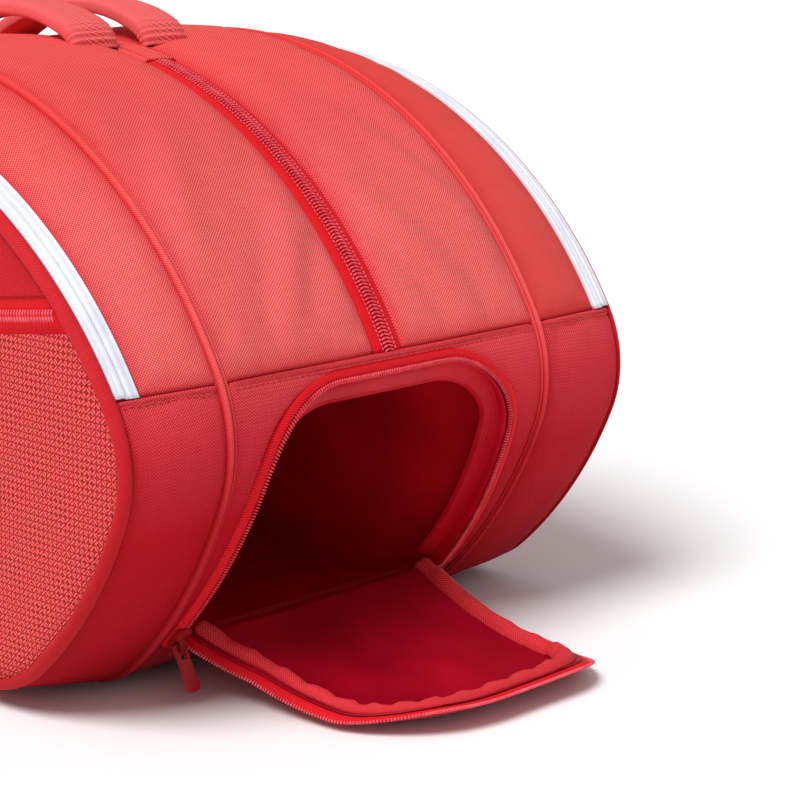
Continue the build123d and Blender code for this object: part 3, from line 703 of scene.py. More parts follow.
def panel(name, slot, y_from, y_to, begin, end, edges, material, wrinkle=None, step=5 * MM, cap=4 * MM,
          ease=0.006, pressure=4.0):
    """A padded panel of the bag between two stations and two y, with its four edges turned in or folded.

    edges names the edge at the beginning, at the end, at y_from and at y_to."""
    across = spaced(y_to - y_from, step)
    y = y_from + across
    starts = np.array([begin(v) for v in y])
    ends = np.array([end(v) for v in y])
    length = float(np.mean(ends - starts))
    along = spaced(length, step)
    s = starts + (along / length)[:, None] * (ends - starts)
    points = skin(s, y[None, :])
    run_s, run_y = np.meshgrid(along, across, indexing="ij")
    distances = (run_s, length - run_s, run_y, (y_to - y_from) - run_y)
    height = np.zeros(s.shape)
    # near: closeness to the edges, darkened by the finish as painted shade along the seams, weaker beside
    # lips
    near = np.zeros(s.shape)
    for kind, d, run in zip(edges, distances, (run_y, run_y, run_s, run_s)):
        height += {"lip": lipped(d, run), "butt": butted(d), "tuck": tucked(d)}[kind]
        near = np.maximum(near, (0.3 if kind == "lip" else 1.0) * np.exp(-((d / (5 * MM)) ** 1.3)))
    nearest = np.minimum.reduce(distances)
    inside = 1 - np.exp(-((nearest / (16 * MM)) ** 2))
    if wrinkle is not None:
        height += wrinkle(s, y[None, :]) * inside
    height += 0.5 * MM * soft_noise(s, y[None, :], 0.09, len(name)) * inside
    points = raised(points, height)
    uv = np.stack(np.broadcast_arrays(s, y[None, :]), axis=-1)
    piece = grid_piece(f"{name}_cloth", points, uv, material, seam=near * 0.8)
    inflate_later(piece, nearest.ravel() < 3.5 * MM, cap, pressure, ease)
    PANELS.append((piece, slot, name))


INNER_Y = SEAM_Y - 1.5 * MM
OUTER_Y = SEAM_Y + 1.5 * MM


def top_folds(side):
    """Soft diagonal folds that run down a top panel towards the head seam."""

    def height(s, y):
        from_fold = fold_head(0.0) - s
        reach = np.exp(-(((from_fold - 70 * MM) / (65 * MM)) ** 2))
        bent = 9 * MM * soft_noise(s, y, 0.12, 21 + side)
        slant = (y * side * 0.8 + from_fold * 0.45 + bent) * 2 * pi / (42 * MM)
        return (1.9 * np.sin(slant) + 1.0 * np.sin(slant * 1.7 + 1.1)) * MM * reach

    return height


for side, name in SIDES:
    low, high = sorted((side * (CENTRE_TAPE_Y + 0.4 * MM), side * (INNER_Y + 0.5 * MM)))
    panel(f"{name}_top_panel", "coral_fabric", low, high, tail_top, fold_head,
          ("butt", "butt", "tuck", "tuck"), coral, top_folds(side), cap=6 * MM, ease=0.012)
panel("tail_panel", "coral_fabric", -INNER_Y, INNER_Y, loop_start, tail_top,
      ("butt", "lip", "tuck", "tuck"), coral, cap=5 * MM)
panel("base_panel", "base_fabric", -INNER_Y, INNER_Y, lip, loop_end,
      ("tuck", "tuck", "tuck", "tuck"), base_cloth, step=9 * MM, cap=1 * MM, pressure=-0.5, ease=0.0)

for side, name in SIDES:
    low, high = sorted((side * (OUTER_Y - 0.5 * MM), side * (FLAT_Y[side] - BAND_IN + 1.0 * MM)))
    panel(f"{name}_upper_gusset", "coral_fabric", low, high, fold_tail, fold_head,
          ("butt", "butt", "tuck", "tuck"), coral_smooth if side > 0 else coral, cap=4 * MM, ease=0.01)
    low, high = sorted((side * (OUTER_Y - 0.5 * MM), side * (FLAT_Y[side] - BAND_OUT + 0.6 * MM)))
    panel(f"{name}_lower_gusset", "coral_fabric", low, high, fold_head,
          second_fold_tail, ("lip", "lip", "tuck", "tuck"), coral_ribbed, cap=4 * MM, ease=0.008)

inflate()
for piece, slot, name in PANELS:
    lined(piece, 2.6 * MM, lining)
    declare(piece, "bag", slot, name)


# ---------------------------------------------------------------- strips that follow the body's outline
def strip(name, body, slot, nodes, profile, side, begin, end, material, step=5 * MM, closed=False,
          wall=0.9 * MM,
          level=1, seam=0.0):
    """A strip swept along the outline. profile holds (y, height) pairs; side mirrors their y."""
    y = side * np.array([p[0] for p in profile])
    h = np.array([p[1] for p in profile])
    starts = np.array([begin(v) for v in y])
    ends = np.array([end(v) for v in y])
    count = 2 + int(np.mean(ends - starts) / step)
    share = np.linspace(0, 1, count)[:, None]
    s = starts + share * (ends - starts)
    points = skin(s, y[None, :], h[None, :])
    run = np.concatenate([[0], np.cumsum(np.hypot(np.diff(y), np.diff(h)))])
    uv = np.stack(np.broadcast_arrays(s, run[None, :]), axis=-1)
    shade = np.broadcast_to(seam, s.shape)
    piece = grid_piece(name, points, uv, material, closed=closed, flip=side < 0, seam=shade)
    lined(piece, wall, level=level)
    return declare(piece, body, slot, *nodes)


# The welt's section, as distance across, height, and how much painted shade its grooves get
WELT = [(-3.4, -3.0, 1.0), (-3.1, -1.2, 1.0), (-2.7, -0.3, 0.3), (-2.2, -0.1, 0.0), (-1.7, -0.5, 0.4),
        (-1.3, -1.4, 1.0),
        (-0.9, -0.3, 0.5), (-0.2, 0.7, 0.0), (0.8, 0.9, 0.0), (1.7, 0.4, 0.1), (2.4, -0.9, 0.9),
        (2.8, -3.0, 1.0)]
for side, name in SIDES:
    profile = [(SEAM_Y + a * MM, b * MM) for a, b, _ in WELT]
    strip(f"{name}_seam_welt", "bag", "coral_binding", [f"{name}_piping"], profile, side, loop_start,
          loop_end, welt_cloth,
          closed=True, seam=np.array([depth for _, _, depth in WELT]))

INNER_BAND = [(0.0, -3.0), (0.1, 0.3), (1.2, 0.6), (2.1, 0.1), (3.0, 0.6), (4.8, 0.9), (5.5, 0.3),
              (5.7, -1.6)]
OUTER_BAND = [(6.1, -1.6), (6.2, 0.3), (6.9, 0.9), (8.6, 0.6), (9.4, 0.1), (10.2, 0.6), (11.5, 0.3),
              (11.7, -3.0)]
COVER_CLEAR = 0.6 * MM


def cover_begin(y):
    return fold_tail(y, COVER_CLEAR)


def cover_end(y):
    return fold_head(y, COVER_CLEAR)


for side, name in SIDES:
    profile = [(FLAT_Y[side] - BAND_IN + a * MM, b * MM) for a, b in INNER_BAND]
    strip(f"{name}_white_tape_inner", "bag", "white_zip", [f"{name}_zip_inner_tape"], profile, side,
          fold_tail,
          fold_head, white_tape)
    profile = [(FLAT_Y[side] - BAND_IN + a * MM, b * MM) for a, b in OUTER_BAND]
    strip(f"{name}_white_tape_outer", f"{name}_cover", "white_zip", [f"{name}_zip_outer_tape"], profile, side,
          cover_begin, cover_end, white_tape)

for side, name in SIDES:
    profile = [(FLAT_Y[side] - BAND_IN - 0.5 * MM, -1.9 * MM),
               (FLAT_Y[side] - BAND_OUT + 0.4 * MM, -1.9 * MM)]
    strip(f"{name}_band_end_backing", "bag", "coral_binding", [], profile, side,
          lambda y: fold_head(y) - 2 * MM,
          lambda y: fold_head(y) + 3 * MM, binding, step=1.5 * MM, level=0)

# The rim runs right round each side
RIM = {
    -1: [(-0.4, -3.0), (0.0, 0.2), (0.7, 1.2), (2.4, 1.6), (4.0, 1.1), (5.0, 0.2), (5.6, -1.2), (5.5, -3.0),
         (4.2, -4.0)],
    1: [(-0.4, -3.0), (-0.1, 0.0), (0.5, 0.1), (1.2, -0.6), (2.2, -2.2), (3.4, -4.2), (4.4, -6.2),
        (4.6, -7.8), (3.8, -8.6)],
}


def across_fold(piece):
    """Bakes the piece's placement into its mesh."""
    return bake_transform(piece)


for side, name in SIDES:
    profile = [(FLAT_Y[side] - BAND_OUT + a * MM, b * MM) for a, b in RIM[side]]
    # The rim takes a little painted seam shade all over
    rim = strip(f"{name}_side_rim", None, "coral_binding", [f"{name}_cover_binding"], profile, side,
                loop_start, loop_end, binding, closed=True, seam=0.1)
    across_fold(rim)


# ---------------------------------------------------------------- centre zip
def line_on_skin(y, begin, end, h):
    """A line along the body at y, h outside it, and the way outwards at each of its points."""
    s = np.linspace(begin(y), end(y), 2 + int((end(y) - begin(y)) / (3 * MM)))
    points = skin(s, y, h)
    outward = skin(s, y, h + MM) - points
    return points, unit(outward)


for side, name in SIDES:
    tape_out = CENTRE_TAPE_Y + 2.2 * MM
    profile = [(CENTRE_COIL_Y - 1.0 * MM, -2.4 * MM), (CENTRE_COIL_Y - 0.3 * MM, -1.2 * MM),
               (CENTRE_COIL_Y + 1.4 * MM, -0.9 * MM),
               (CENTRE_COIL_Y + 3.4 * MM, -0.9 * MM), (tape_out - 1.2 * MM, -1.6 * MM), (tape_out, -4.0 * MM)]
    strip(f"centre_tape_{name}", "bag", "red_zip", [f"centre_zip_tape_{name}"], profile, side, tail_top,
          fold_head,
          red_tape)

points, outward = line_on_skin(0.0, tail_top, fold_head, -0.7 * MM)
coil = zip_teeth("centre_coil", points, outward, coil_pink, 3.0 * MM, pitch=1.8 * MM)
declare(coil, "bag", "red_zip", "centre_zip_coil")
for side, name in SIDES:
    points, outward = line_on_skin(side * (CENTRE_COIL_Y + 1.0 * MM), tail_top, fold_head, -0.6 * MM)
    row = stitches(f"centre_tape_stitches_{name}", points, outward, coil_pink, 2.2 * MM, 0.4 * MM)
    declare(row, "bag", "red_zip")
profile = [(-CENTRE_COIL_Y - 1 * MM, -2.2 * MM), (0.0, -1.6 * MM), (CENTRE_COIL_Y + 1 * MM, -2.2 * MM)]
strip("centre_coil_cord", "bag", "red_zip", [], profile, 1, tail_top, fold_head, red_tape, level=0)


# ---------------------------------------------------------------- sides of the bag
def branch(y, grow):
    """The outline at y as the heights of its lower and its upper branch over x."""
    s = np.linspace(0, LOOP, 4000)
    points = skin(s, y, grow)
    head = int(np.argmax(points[:, 0]))
    tail = int(np.argmin(points[:, 0]))
    upper = points[tail : head + 1]
    lower = np.concatenate([points[head:], points[: tail + 1]])[::-1]
    return (
        lambda x: np.interp(x, np.maximum.accumulate(lower[:, 0]), lower[:, 2]),
        lambda x: np.interp(x, np.maximum.accumulate(upper[:, 0]), upper[:, 2]),
        float(points[tail, 0]),
        float(points[head, 0]),
    )


def fold_z(x, up=0.0):
    """Height of the fold line, or of a line parallel to it, at x."""
    return FOLD_POINT[2] + up / FOLD_UP[2] + (x - FOLD_POINT[0]) * FOLD_ALONG[2] / FOLD_ALONG[0]


def side_sheet(name, y, grow, low_of, high_of, material, side, step=6 * MM, bulge=3 * MM, rows=None,
               crease=None):
    """A flat panel in a side of the bag between two lines, as columns from low_of to high_of."""
    lower, upper, tail, head = branch(y, grow)
    turn = np.linspace(-pi / 2, pi / 2, 2 + int((head - tail) / step * 1.15))
    x = (head + tail) / 2 + (head - tail) / 2 * np.sin(turn)
    low = np.maximum(lower(x), low_of(x)) if low_of else lower(x)
    high = np.minimum(upper(x), high_of(x)) if high_of else upper(x)
    keep = high - low > 0.5 * MM
    x, low, high = x[keep], low[keep], high[keep]
    count = rows or 3 + int(np.max(high - low) / step)
    share = (1 - np.cos(np.linspace(0, pi, count))) / 2 * 0.5 + np.linspace(0, 1, count) * 0.5
    z = low[:, None] + share[None, :] * (high - low)[:, None]
    grid_x = np.broadcast_to(x[:, None], z.shape)
    inset = np.minimum(np.minimum(z - lower(x)[:, None], upper(x)[:, None] - z),
                       np.minimum(grid_x - tail, head - grid_x))
    swell = bulge * (1 - np.exp(-np.maximum(inset, 0) / (22 * MM)))
    swell = swell + 0.7 * MM * soft_noise(grid_x, z, 0.16, 5)
    if crease is not None:
        swell = swell + crease(grid_x, z)
    points = np.stack([grid_x, np.full(z.shape, y) + side * swell, z], axis=-1)
    uv = np.stack([grid_x, z], axis=-1)
    # Painted shade towards the sheet's edges, as its seam values
    near = np.exp(-np.maximum(inset, 0) / (5 * MM)) * 0.7
    return grid_piece(name, points, uv, material, flip=side > 0, seam=near)


POCKET_UP = 35.6 * MM
POCKET_TAPE = 8.0 * MM
FACE = {side: FLAT_Y[side] - 3.0 * MM for side in (-1, 1)}
PLATE_GROW = -2.4 * MM


def small_crease(x, z):
    """A short crease in the woven panel near the head end."""
    along = np.exp(-(((x - 0.245) / (20 * MM)) ** 2))
    return -1.3 * MM * along * np.exp(-(((z - 0.098) / (2.2 * MM)) ** 2))


woven_side = side_sheet("front_woven_panel", -FACE[-1], PLATE_GROW, None,
                        lambda x: fold_z(x, POCKET_UP - POCKET_TAPE),
                        basket, -1, crease=small_crease)
lined(woven_side, 1.6 * MM, lining)
declare(woven_side, None, "woven_panel", "front_lower_panel", "pocket_upper_panel")
across_fold(woven_side)

cover_side = side_sheet("front_twill_panel", -FACE[-1], PLATE_GROW,
                        lambda x: fold_z(x, POCKET_UP + POCKET_TAPE), None,
                        dark_twill, -1)
lined(cover_side, 1.6 * MM, lining)
declare(cover_side, "front_cover", "dark_twill", "front_cover_panel")

pocket_tape = side_sheet("pocket_tape", -FACE[-1] + 1.4 * MM, PLATE_GROW,
                         lambda x: fold_z(x, POCKET_UP - POCKET_TAPE - 2 * MM),
                         lambda x: fold_z(x, POCKET_UP + POCKET_TAPE + 2 * MM), red_tape, -1, rows=6)
lined(pocket_tape, 1.0 * MM)
declare(pocket_tape, "front_cover", "red_zip", "pocket_zip_tape")

back_side = side_sheet("back_side_panel", FACE[1], PLATE_GROW, None, None, coral, 1, bulge=2 * MM)
lined(back_side, 1.6 * MM, lining)
declare(back_side, None, "coral_fabric", "back_lower_panel", "back_cover_panel")
across_fold(back_side)

backing = side_sheet("pocket_lining", -FACE[-1] + 6 * MM, -5 * MM, None, lambda x: fold_z(x, -1 * MM),
                     lining, -1, bulge=0.5 * MM)
lined(backing, 0.8 * MM)
declare(backing, "bag", "red_lining", "pocket_backing")


def sheet_size(piece):
    """Flat width, length and area of a lining, from its mesh."""
    co = coordinates(piece.data)
    size = sorted(co.max(axis=0) - co.min(axis=0))
    area = sum(polygon.area for polygon in piece.data.polygons)
    width, length = size[1], size[2]
    return (float(width), float(length)), float(min(area, width * length))


def flat_sheet(piece):
    flat, area = sheet_size(piece)


flat_sheet(backing)
for side, name in SIDES:
    divider = side_sheet(f"{name}_divider_sheet", side * SEAM_Y, -4.5 * MM, None, None, lining, side,
                         step=11 * MM,
                         bulge=1 * MM)
    lined(divider, 1.0 * MM)
    declare(divider, "bag", "red_lining", f"{name}_divider")
    flat_sheet(divider)

# Pocket zip: the coil lies along the tape
_, upper, tail, head = branch(-FACE[-1], PLATE_GROW)
x = np.linspace(tail + 14 * MM, head - 24 * MM, 200)
points = np.stack([x, np.full(x.shape, -FACE[-1] - 1.6 * MM), fold_z(x, POCKET_UP)], axis=1)
points[:, 1] -= 3 * MM * (1 - np.exp(-np.minimum(x - tail, head - x) / (22 * MM)))
points = points[points[:, 2] < upper(x) - 2 * MM]
coil = zip_teeth("pocket_coil", points, (0, -1, 0), coil_pink, 2.7 * MM, pitch=1.9 * MM)
declare(coil, "front_cover", "red_zip", "pocket_zip_coil")


# ---------------------------------------------------------------- shoe opening
LIP_Z = float(HINGE[2])
ARCH_LEAN = atan(8 / 74)
ARCH_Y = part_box("shoe_zip_coil")[1].y - 1.6 * MM / cos(ARCH_LEAN)
ARCH_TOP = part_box("shoe_zip_coil")[1].z - 1.6 * MM
ARCH_R = 46 * MM
CORNER_Z = ARCH_TOP - ARCH_R
CORNER_Y = ARCH_Y - (CORNER_Z - LIP_Z) * tan(ARCH_LEAN) - ARCH_R / cos(ARCH_LEAN)
SHOULDER_Z = CORNER_Z + ARCH_R * sin(ARCH_LEAN)
TAPE_SHOWN_MOST = 6.4 * MM
TAPE_SHOWN_LEAST = 3.4 * MM
HEAD_S = np.linspace(CREST, LOOP - 0.4, 3000)
HEAD_Z = skin(HEAD_S, 0.0)[:, 2]


def on_head(y, z, h=0.0):
    """Point of the head end's skin at side y and height z."""
    return skin(np.interp(z, HEAD_Z[::-1], HEAD_S[::-1]), y, h)


def leg_y(z):
    """Half the opening's width at height z, on its leaning legs."""
    return ARCH_Y - (z - LIP_Z) * tan(ARCH_LEAN)


def arch_line(base_z, step=3 * MM):
    """The opening's outline from the front lip over the top to the back lip: y, z and the way outwards."""
    z = np.linspace(base_z, SHOULDER_Z, 2 + int((SHOULDER_Z - base_z) / step))[:-1]
    leg = np.stack([leg_y(z), z, np.full(z.shape, cos(ARCH_LEAN)), np.full(z.shape, sin(ARCH_LEAN))], axis=1)
    turn = np.linspace(ARCH_LEAN, pi / 2, 2 + int(ARCH_R * (pi / 2 - ARCH_LEAN) / step))
    away = np.stack([np.cos(turn), np.sin(turn)], axis=1)
    corner = np.concatenate([np.array([CORNER_Y, CORNER_Z]) + ARCH_R * away, away], axis=1)
    y = np.linspace(-CORNER_Y, CORNER_Y, 2 + int(2 * CORNER_Y / step))[1:-1]
    top = np.stack([y, np.full(y.shape, ARCH_TOP), np.zeros(y.shape), np.ones(y.shape)], axis=1)
    back = np.concatenate([leg, corner])
    return np.concatenate([back * (-1, 1, -1, 1), top, back[::-1]])


def arch_strip(name, profile, material, base_z=LIP_Z, place=lambda p: p, flip=False, wall=0.9 * MM,
               ripple=None):
    """A strip round the opening. profile holds pairs: how far outside the outline, and the height."""
    line = arch_line(base_z)
    rows = []
    run = np.concatenate([[0], np.cumsum(np.hypot(*np.diff(line[:, :2], axis=0).T))])
    for grow, h in profile:
        y, z = line[:, 0] + grow * line[:, 2], line[:, 1] + grow * line[:, 3]
        lift = h + (0 if ripple is None else ripple(run, grow))
        rows.append(on_head(y, z, lift))
    points = place(np.stack(rows, axis=1))
    width = np.linspace(0, profile[-1][0] - profile[0][0], points.shape[1])
    uv = np.stack(np.broadcast_arrays(run[:, None], width[None, :]), axis=-1)
    piece = grid_piece(name, points, uv, material, flip=flip, seam=np.zeros(points.shape[:2]))
    return lined(piece, wall)


def panel_edge(line):
    """Where the head panel meets the welts and the seam above it, and how far each point is on that seam."""
    top = float(skin(fold_head(0.0), 0.0)[2])
    side_y = INNER_Y + 0.5 * MM
    turn = np.arctan2(line[:, 3], np.abs(line[:, 2]))
    share = np.clip((turn - ARCH_LEAN) / (pi / 2 - ARCH_LEAN), 0, 1)
    upward, across = top - SHOULDER_Z, side_y - CORNER_Y
    run = share * (upward + across)
    y = np.where(share < 1, side_y - np.clip(run - upward, 0, across),
                 np.abs(line[:, 0])) * np.sign(line[:, 0])
    z = np.where(share > 0, SHOULDER_Z + np.clip(run, 0, upward), line[:, 1])
    return y, z, np.clip((run - upward) / (5 * MM), 0, 1)


def head_panel():
    """The narrow panel between the shoe zip, the welts and the seam above, with that seam's folded edge."""
    line = arch_line(LIP_Z - 1 * MM, 1.6 * MM)
    edge_y, edge_z, seam_above = panel_edge(line)
    front_leg = np.clip((-line[:, 2] - 0.2) / 0.6, 0, 1)[:, None]
    shown = TAPE_SHOWN_LEAST + (TAPE_SHOWN_MOST - TAPE_SHOWN_LEAST) * front_leg
    start = line[:, :2] + shown * line[:, 2:]
    shares = np.array([0, 0.03, 0.08, 0.16, 0.3, 0.45, 0.6, 0.74, 0.84, 0.91, 0.96, 1.0])
    y = start[:, :1] + shares * (edge_y - start[:, 0])[:, None]
    z = start[:, 1:] + shares * (edge_z - start[:, 1])[:, None]
    points = on_head(y, z)
    width = np.hypot(edge_y - start[:, 0], edge_z - start[:, 1])[:, None]
    d_in, d_out = shares * width, (1 - shares) * width
    top = seam_above[:, None]
    height = tucked(d_in * 1.3) * 0.7 + top * lipped(d_out, y) + (1 - top) * tucked(d_out)
    points = raised(points, height)
    uv = np.stack([z, y], axis=-1)
    # Painted shade beside the panel's seams, as its seam values
    near = np.exp(-np.minimum(d_in, d_out) / (3 * MM)) * 0.6
    piece = grid_piece("head_panel_cloth", points, uv, coral_ribbed, flip=False, seam=near)
    lined(piece, 2.2 * MM, lining)
    declare(piece, "bag", "coral_fabric", "head_panel")


head_panel()

tape = arch_strip("shoe_tape", mm((0.6, -2.4), (1.4, -0.6), (3.2, 0.3), (5.4, -0.2), (7.2, -2.6)), red_tape,
                  LIP_Z - 1 * MM)
declare(tape, "bag", "red_zip", "shoe_zip_tape")


facing_profile = mm((-0.4, -2.4), (-0.9, -5.2), (-3.6, -8.4), (-9.5, -11.2))
mouth_facing = arch_strip("shoe_mouth_facing", facing_profile, facing_lining, LIP_Z, flip=True, wall=0.7 * MM)
declare(mouth_facing, "bag", "red_lining")


def arch_coil(name, grow, h, place, base_z, material=coil_red):
    """One half of the zip's teeth, along the edge of the opening or of the flap."""
    line = arch_line(base_z, 1.5 * MM)
    points = place(on_head(line[:, 0] + grow * line[:, 2], line[:, 1] + grow * line[:, 3], h))
    outside = place(on_head(line[:, 0] + (grow + MM) * line[:, 2], line[:, 1] + (grow + MM) * line[:, 3], h))
    centres, along = even(points, 1.5 * MM)
    away = unit(nearest_rows(points, centres, unit(outside - points)))
    out = unit(np.cross(along, away))
    return beads(name, centres, unit(away + along * 0.25) * 1.5 * MM, along * 0.62 * MM, out * 0.9 * MM,
                 material)


coil = arch_coil("shoe_coil", 0.4 * MM, -0.4 * MM, lambda p: p, LIP_Z)
declare(coil, "bag", "red_zip", "shoe_zip_coil")


# ---------------------------------------------------------------- shoe compartment lining
def tunnel():
    """The compartment's lining: from the teeth back through the bag to its closed end, slightly gathered."""
    low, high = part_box("shoe_tunnel")
    line = arch_line(LIP_Z, 6 * MM)
    floor = np.linspace(1, -1, 24)[1:-1]
    mouth_y = np.concatenate([line[:, 0], ARCH_Y * floor, line[:1, 0]])
    mouth_z = np.concatenate([line[:, 1], np.full(floor.shape, LIP_Z), line[:1, 1]])
    tall = (mouth_z - LIP_Z) / (ARCH_TOP - LIP_Z)
    back_y = mouth_y * 0.98
    back_z = low.z + 1 * MM + tall * (high.z - low.z - 2 * MM)
    mouth = on_head(mouth_y, mouth_z, -2.2 * MM)
    depth = np.array([0, 0.012, 0.04, 0.08, 0.14, 0.2, 0.28, 0.36, 0.45, 0.55, 0.66, 0.78, 0.9, 0.97, 1.0])
    rows = []
    for share in depth:
        blend = min(1.0, share / 0.14)
        x = mouth[:, 0] + share * (low.x + 3 * MM - mouth[:, 0])
        y = mouth_y + blend * (back_y - mouth_y)
        z = mouth_z + blend * (back_z - mouth_z) - blend * 1 * MM * (tall > 0.5)
        around = np.arange(len(y)) * 0.35
        broad = 0.012 * blend * (1 + np.sin(around * 2.3 + share * 9))
        narrow = 0.01 * blend * (1 + np.sin(around * 5.1 - share * 15))
        shrink = 1 - broad - narrow
        middle_z = (low.z + high.z) / 2
        rows.append(np.stack([x, y * shrink, middle_z + (z - middle_z) * shrink], axis=1))
    centre = np.array([low.x + 3 * MM, 0, (low.z + high.z) / 2])
    for share in (0.75, 0.4, 0.1):
        rows.append(centre + (rows[len(depth) - 1] - centre) * share)
    points = np.stack(rows, axis=1)
    around = np.concatenate([[0], np.cumsum(np.linalg.norm(np.diff(points[:, 6], axis=0), axis=1))])
    reach = np.concatenate([[0], np.cumsum(np.linalg.norm(np.diff(points[20], axis=0), axis=1))])
    uv = np.stack(np.broadcast_arrays(around[:, None], reach[None, :]), axis=-1)
    piece = grid_piece("shoe_compartment_lining", points, uv, facing_lining, closed=True, flip=False)
    lined(piece, 0.8 * MM)
    declare(piece, "bag", "red_lining", "shoe_tunnel")


tunnel()


# ---------------------------------------------------------------- shoe flap
FLAP_REACH = 126 * MM
NEAR_CORNER_SHORT = 15 * MM
FAR_CORNER_LONG = 1.5 * MM
CORNER_LIFT = 2.5 * MM
NEAR_EDGE_IN = 4.5 * MM
MIDDLE_SHIFT = 1.2 * MM


def opened(points):
    """Turns the closed flap out about its hinge line to where it lies at rest, its corners out of square.

    The flap keeps that shape when it closes, which leaves a slit along the near leg of the arch."""
    d = points - HINGE
    x = d[..., 0] * cos(FLAP_OPEN) + d[..., 2] * sin(FLAP_OPEN)
    y = d[..., 1]
    z = -d[..., 0] * sin(FLAP_OPEN) + d[..., 2] * cos(FLAP_OPEN)
    reach = np.clip(x / FLAP_REACH, 0, 1.1) ** 2
    front = np.clip((-y - 8 * MM) / (60 * MM), 0, 1.1) ** 2
    back = np.clip((y - 8 * MM) / (60 * MM), 0, 1.1) ** 2
    near = np.clip(x / (40 * MM), 0, 1)
    x = x + reach * (FAR_CORNER_LONG * back - NEAR_CORNER_SHORT * front)
    z = z + CORNER_LIFT * near * front + CORNER_LIFT * reach * back
    y = y + NEAR_EDGE_IN * near * front + MIDDLE_SHIFT * reach * (1 - np.minimum(back, 1))
    return np.stack([x, y, z], axis=-1) + HINGE


FLAP_CLEAR = 2.6 * MM
FLAP_Z = LIP_Z + 0.6 * MM


def flap_sheet(name, inset, h, material, thickness, slot, node, lift):
    """A layer of the flap between the hinge and its outline, as rows across it."""
    top = ARCH_TOP - inset
    z = FLAP_Z + (top - FLAP_Z) * np.sin(np.linspace(0, pi / 2, 38))
    radius = ARCH_R - inset
    corner = CORNER_Y + np.sqrt(np.clip(radius**2 - (z - CORNER_Z) ** 2, 0, None))
    half = np.where(z < SHOULDER_Z, leg_y(z) - inset / cos(ARCH_LEAN), corner)
    across = np.sin(np.linspace(-pi / 2, pi / 2, 44))
    grid_y = across[:, None] * half
    grid_z = np.broadcast_to(z, grid_y.shape)
    edge = np.minimum(half - np.abs(grid_y), top - grid_z)
    height = h + lift(grid_y, grid_z, edge)
    points = opened(on_head(grid_y, grid_z, height))
    uv = np.stack([grid_y, grid_z], axis=-1)
    piece = grid_piece(name, points, uv, material, flip=True)
    piece.data.flip_normals()
    lined(piece, thickness)
    declare(piece, "shoe_flap", slot, node)
    return piece


def lining_ripple(y, z, edge):
    """The flap's lining is uneven away from its edge."""
    return -1.6 * MM * soft_noise(y, z, 0.07, 3) * np.clip(edge / (15 * MM), 0, 1) - 1.2 * MM


flap = flap_sheet("flap_outer_cloth", FLAP_CLEAR + 5.4 * MM, -0.8 * MM, coral, 1.6 * MM, "coral_fabric",
                  "flap_panel",
                  lambda y, z, edge: 0 * y)
flap_in = flap_sheet("flap_inner_lining", FLAP_CLEAR + 4.2 * MM, -2.6 * MM, flap_lining, 0.7 * MM,
                     "red_lining", "flap_lining",
                     lining_ripple)
flat_sheet(flap_in)


def rim_ripple(run, grow):
    """The rim is gathered: its height and width waver along it."""
    crown = np.clip((-grow - 9.8 * MM) / (4 * MM), 0, 1)
    waves = 0.8 * np.sin(run * 2 * pi / (19 * MM)) + 0.45 * np.sin(run * 2 * pi / (8.3 * MM) + 2)
    raised_corner = 2.0 * np.exp(-(((run / run.max() - 0.70) / 0.10) ** 2))
    return -crown * MM * (waves + raised_corner)


RIM_PROFILE = mm((-19.5, -3.0), (-18.9, -5.2), (-17.4, -7.6), (-14.8, -8.9), (-12.0, -8.6), (-10.2, -6.8),
                 (-9.6, -4.2))
rim = arch_strip("flap_soft_rim", RIM_PROFILE, flap_binding, FLAP_Z, opened, flip=True, wall=1.0 * MM,
                 ripple=rim_ripple)
declare(rim, "shoe_flap", "coral_fabric", "flap_rim")
flap_tape_profile = mm((-10.4, -3.0), (-8.8, -3.6), (-6.4, -3.5), (-4.4, -2.8), (-3.0, -1.1))
tape = arch_strip("flap_tape", flap_tape_profile, red_tape, FLAP_Z, opened, flip=True)
declare(tape, "shoe_flap", "red_zip", "flap_zip_tape")
coil = arch_coil("flap_coil", -2.8 * MM, -1.1 * MM, opened, FLAP_Z, coil_pink)
declare(coil, "shoe_flap", "red_zip", "flap_zip_coil")


def hinge_cloth():
    """The strip of cloth that the flap bends on, from the base over the lip and out along the flap."""
    half = ARCH_Y - 3.5 * MM
    y = np.linspace(-half, half, 40)
    below = [on_head(y, LIP_Z - d, -1.2 * MM) for d in (9 * MM, 6 * MM, 3 * MM)]
    edge = [on_head(y, np.full(y.shape, LIP_Z), -0.6 * MM)]
    above = [opened(on_head(y, LIP_Z + d, -1.0 * MM)) for d in (3 * MM, 6 * MM, 9 * MM)]
    rows = [np.asarray(row) for row in below + edge + above]
    points = np.stack(rows, axis=1)
    uv = np.stack(np.broadcast_arrays(y[:, None], (np.arange(len(rows)) * 3 * MM)[None, :]), axis=-1)
    piece = grid_piece("flap_hinge_cloth", points, uv, red_tape, flip=True)
    lined(piece, 0.9 * MM)
    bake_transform(piece)


hinge_cloth()


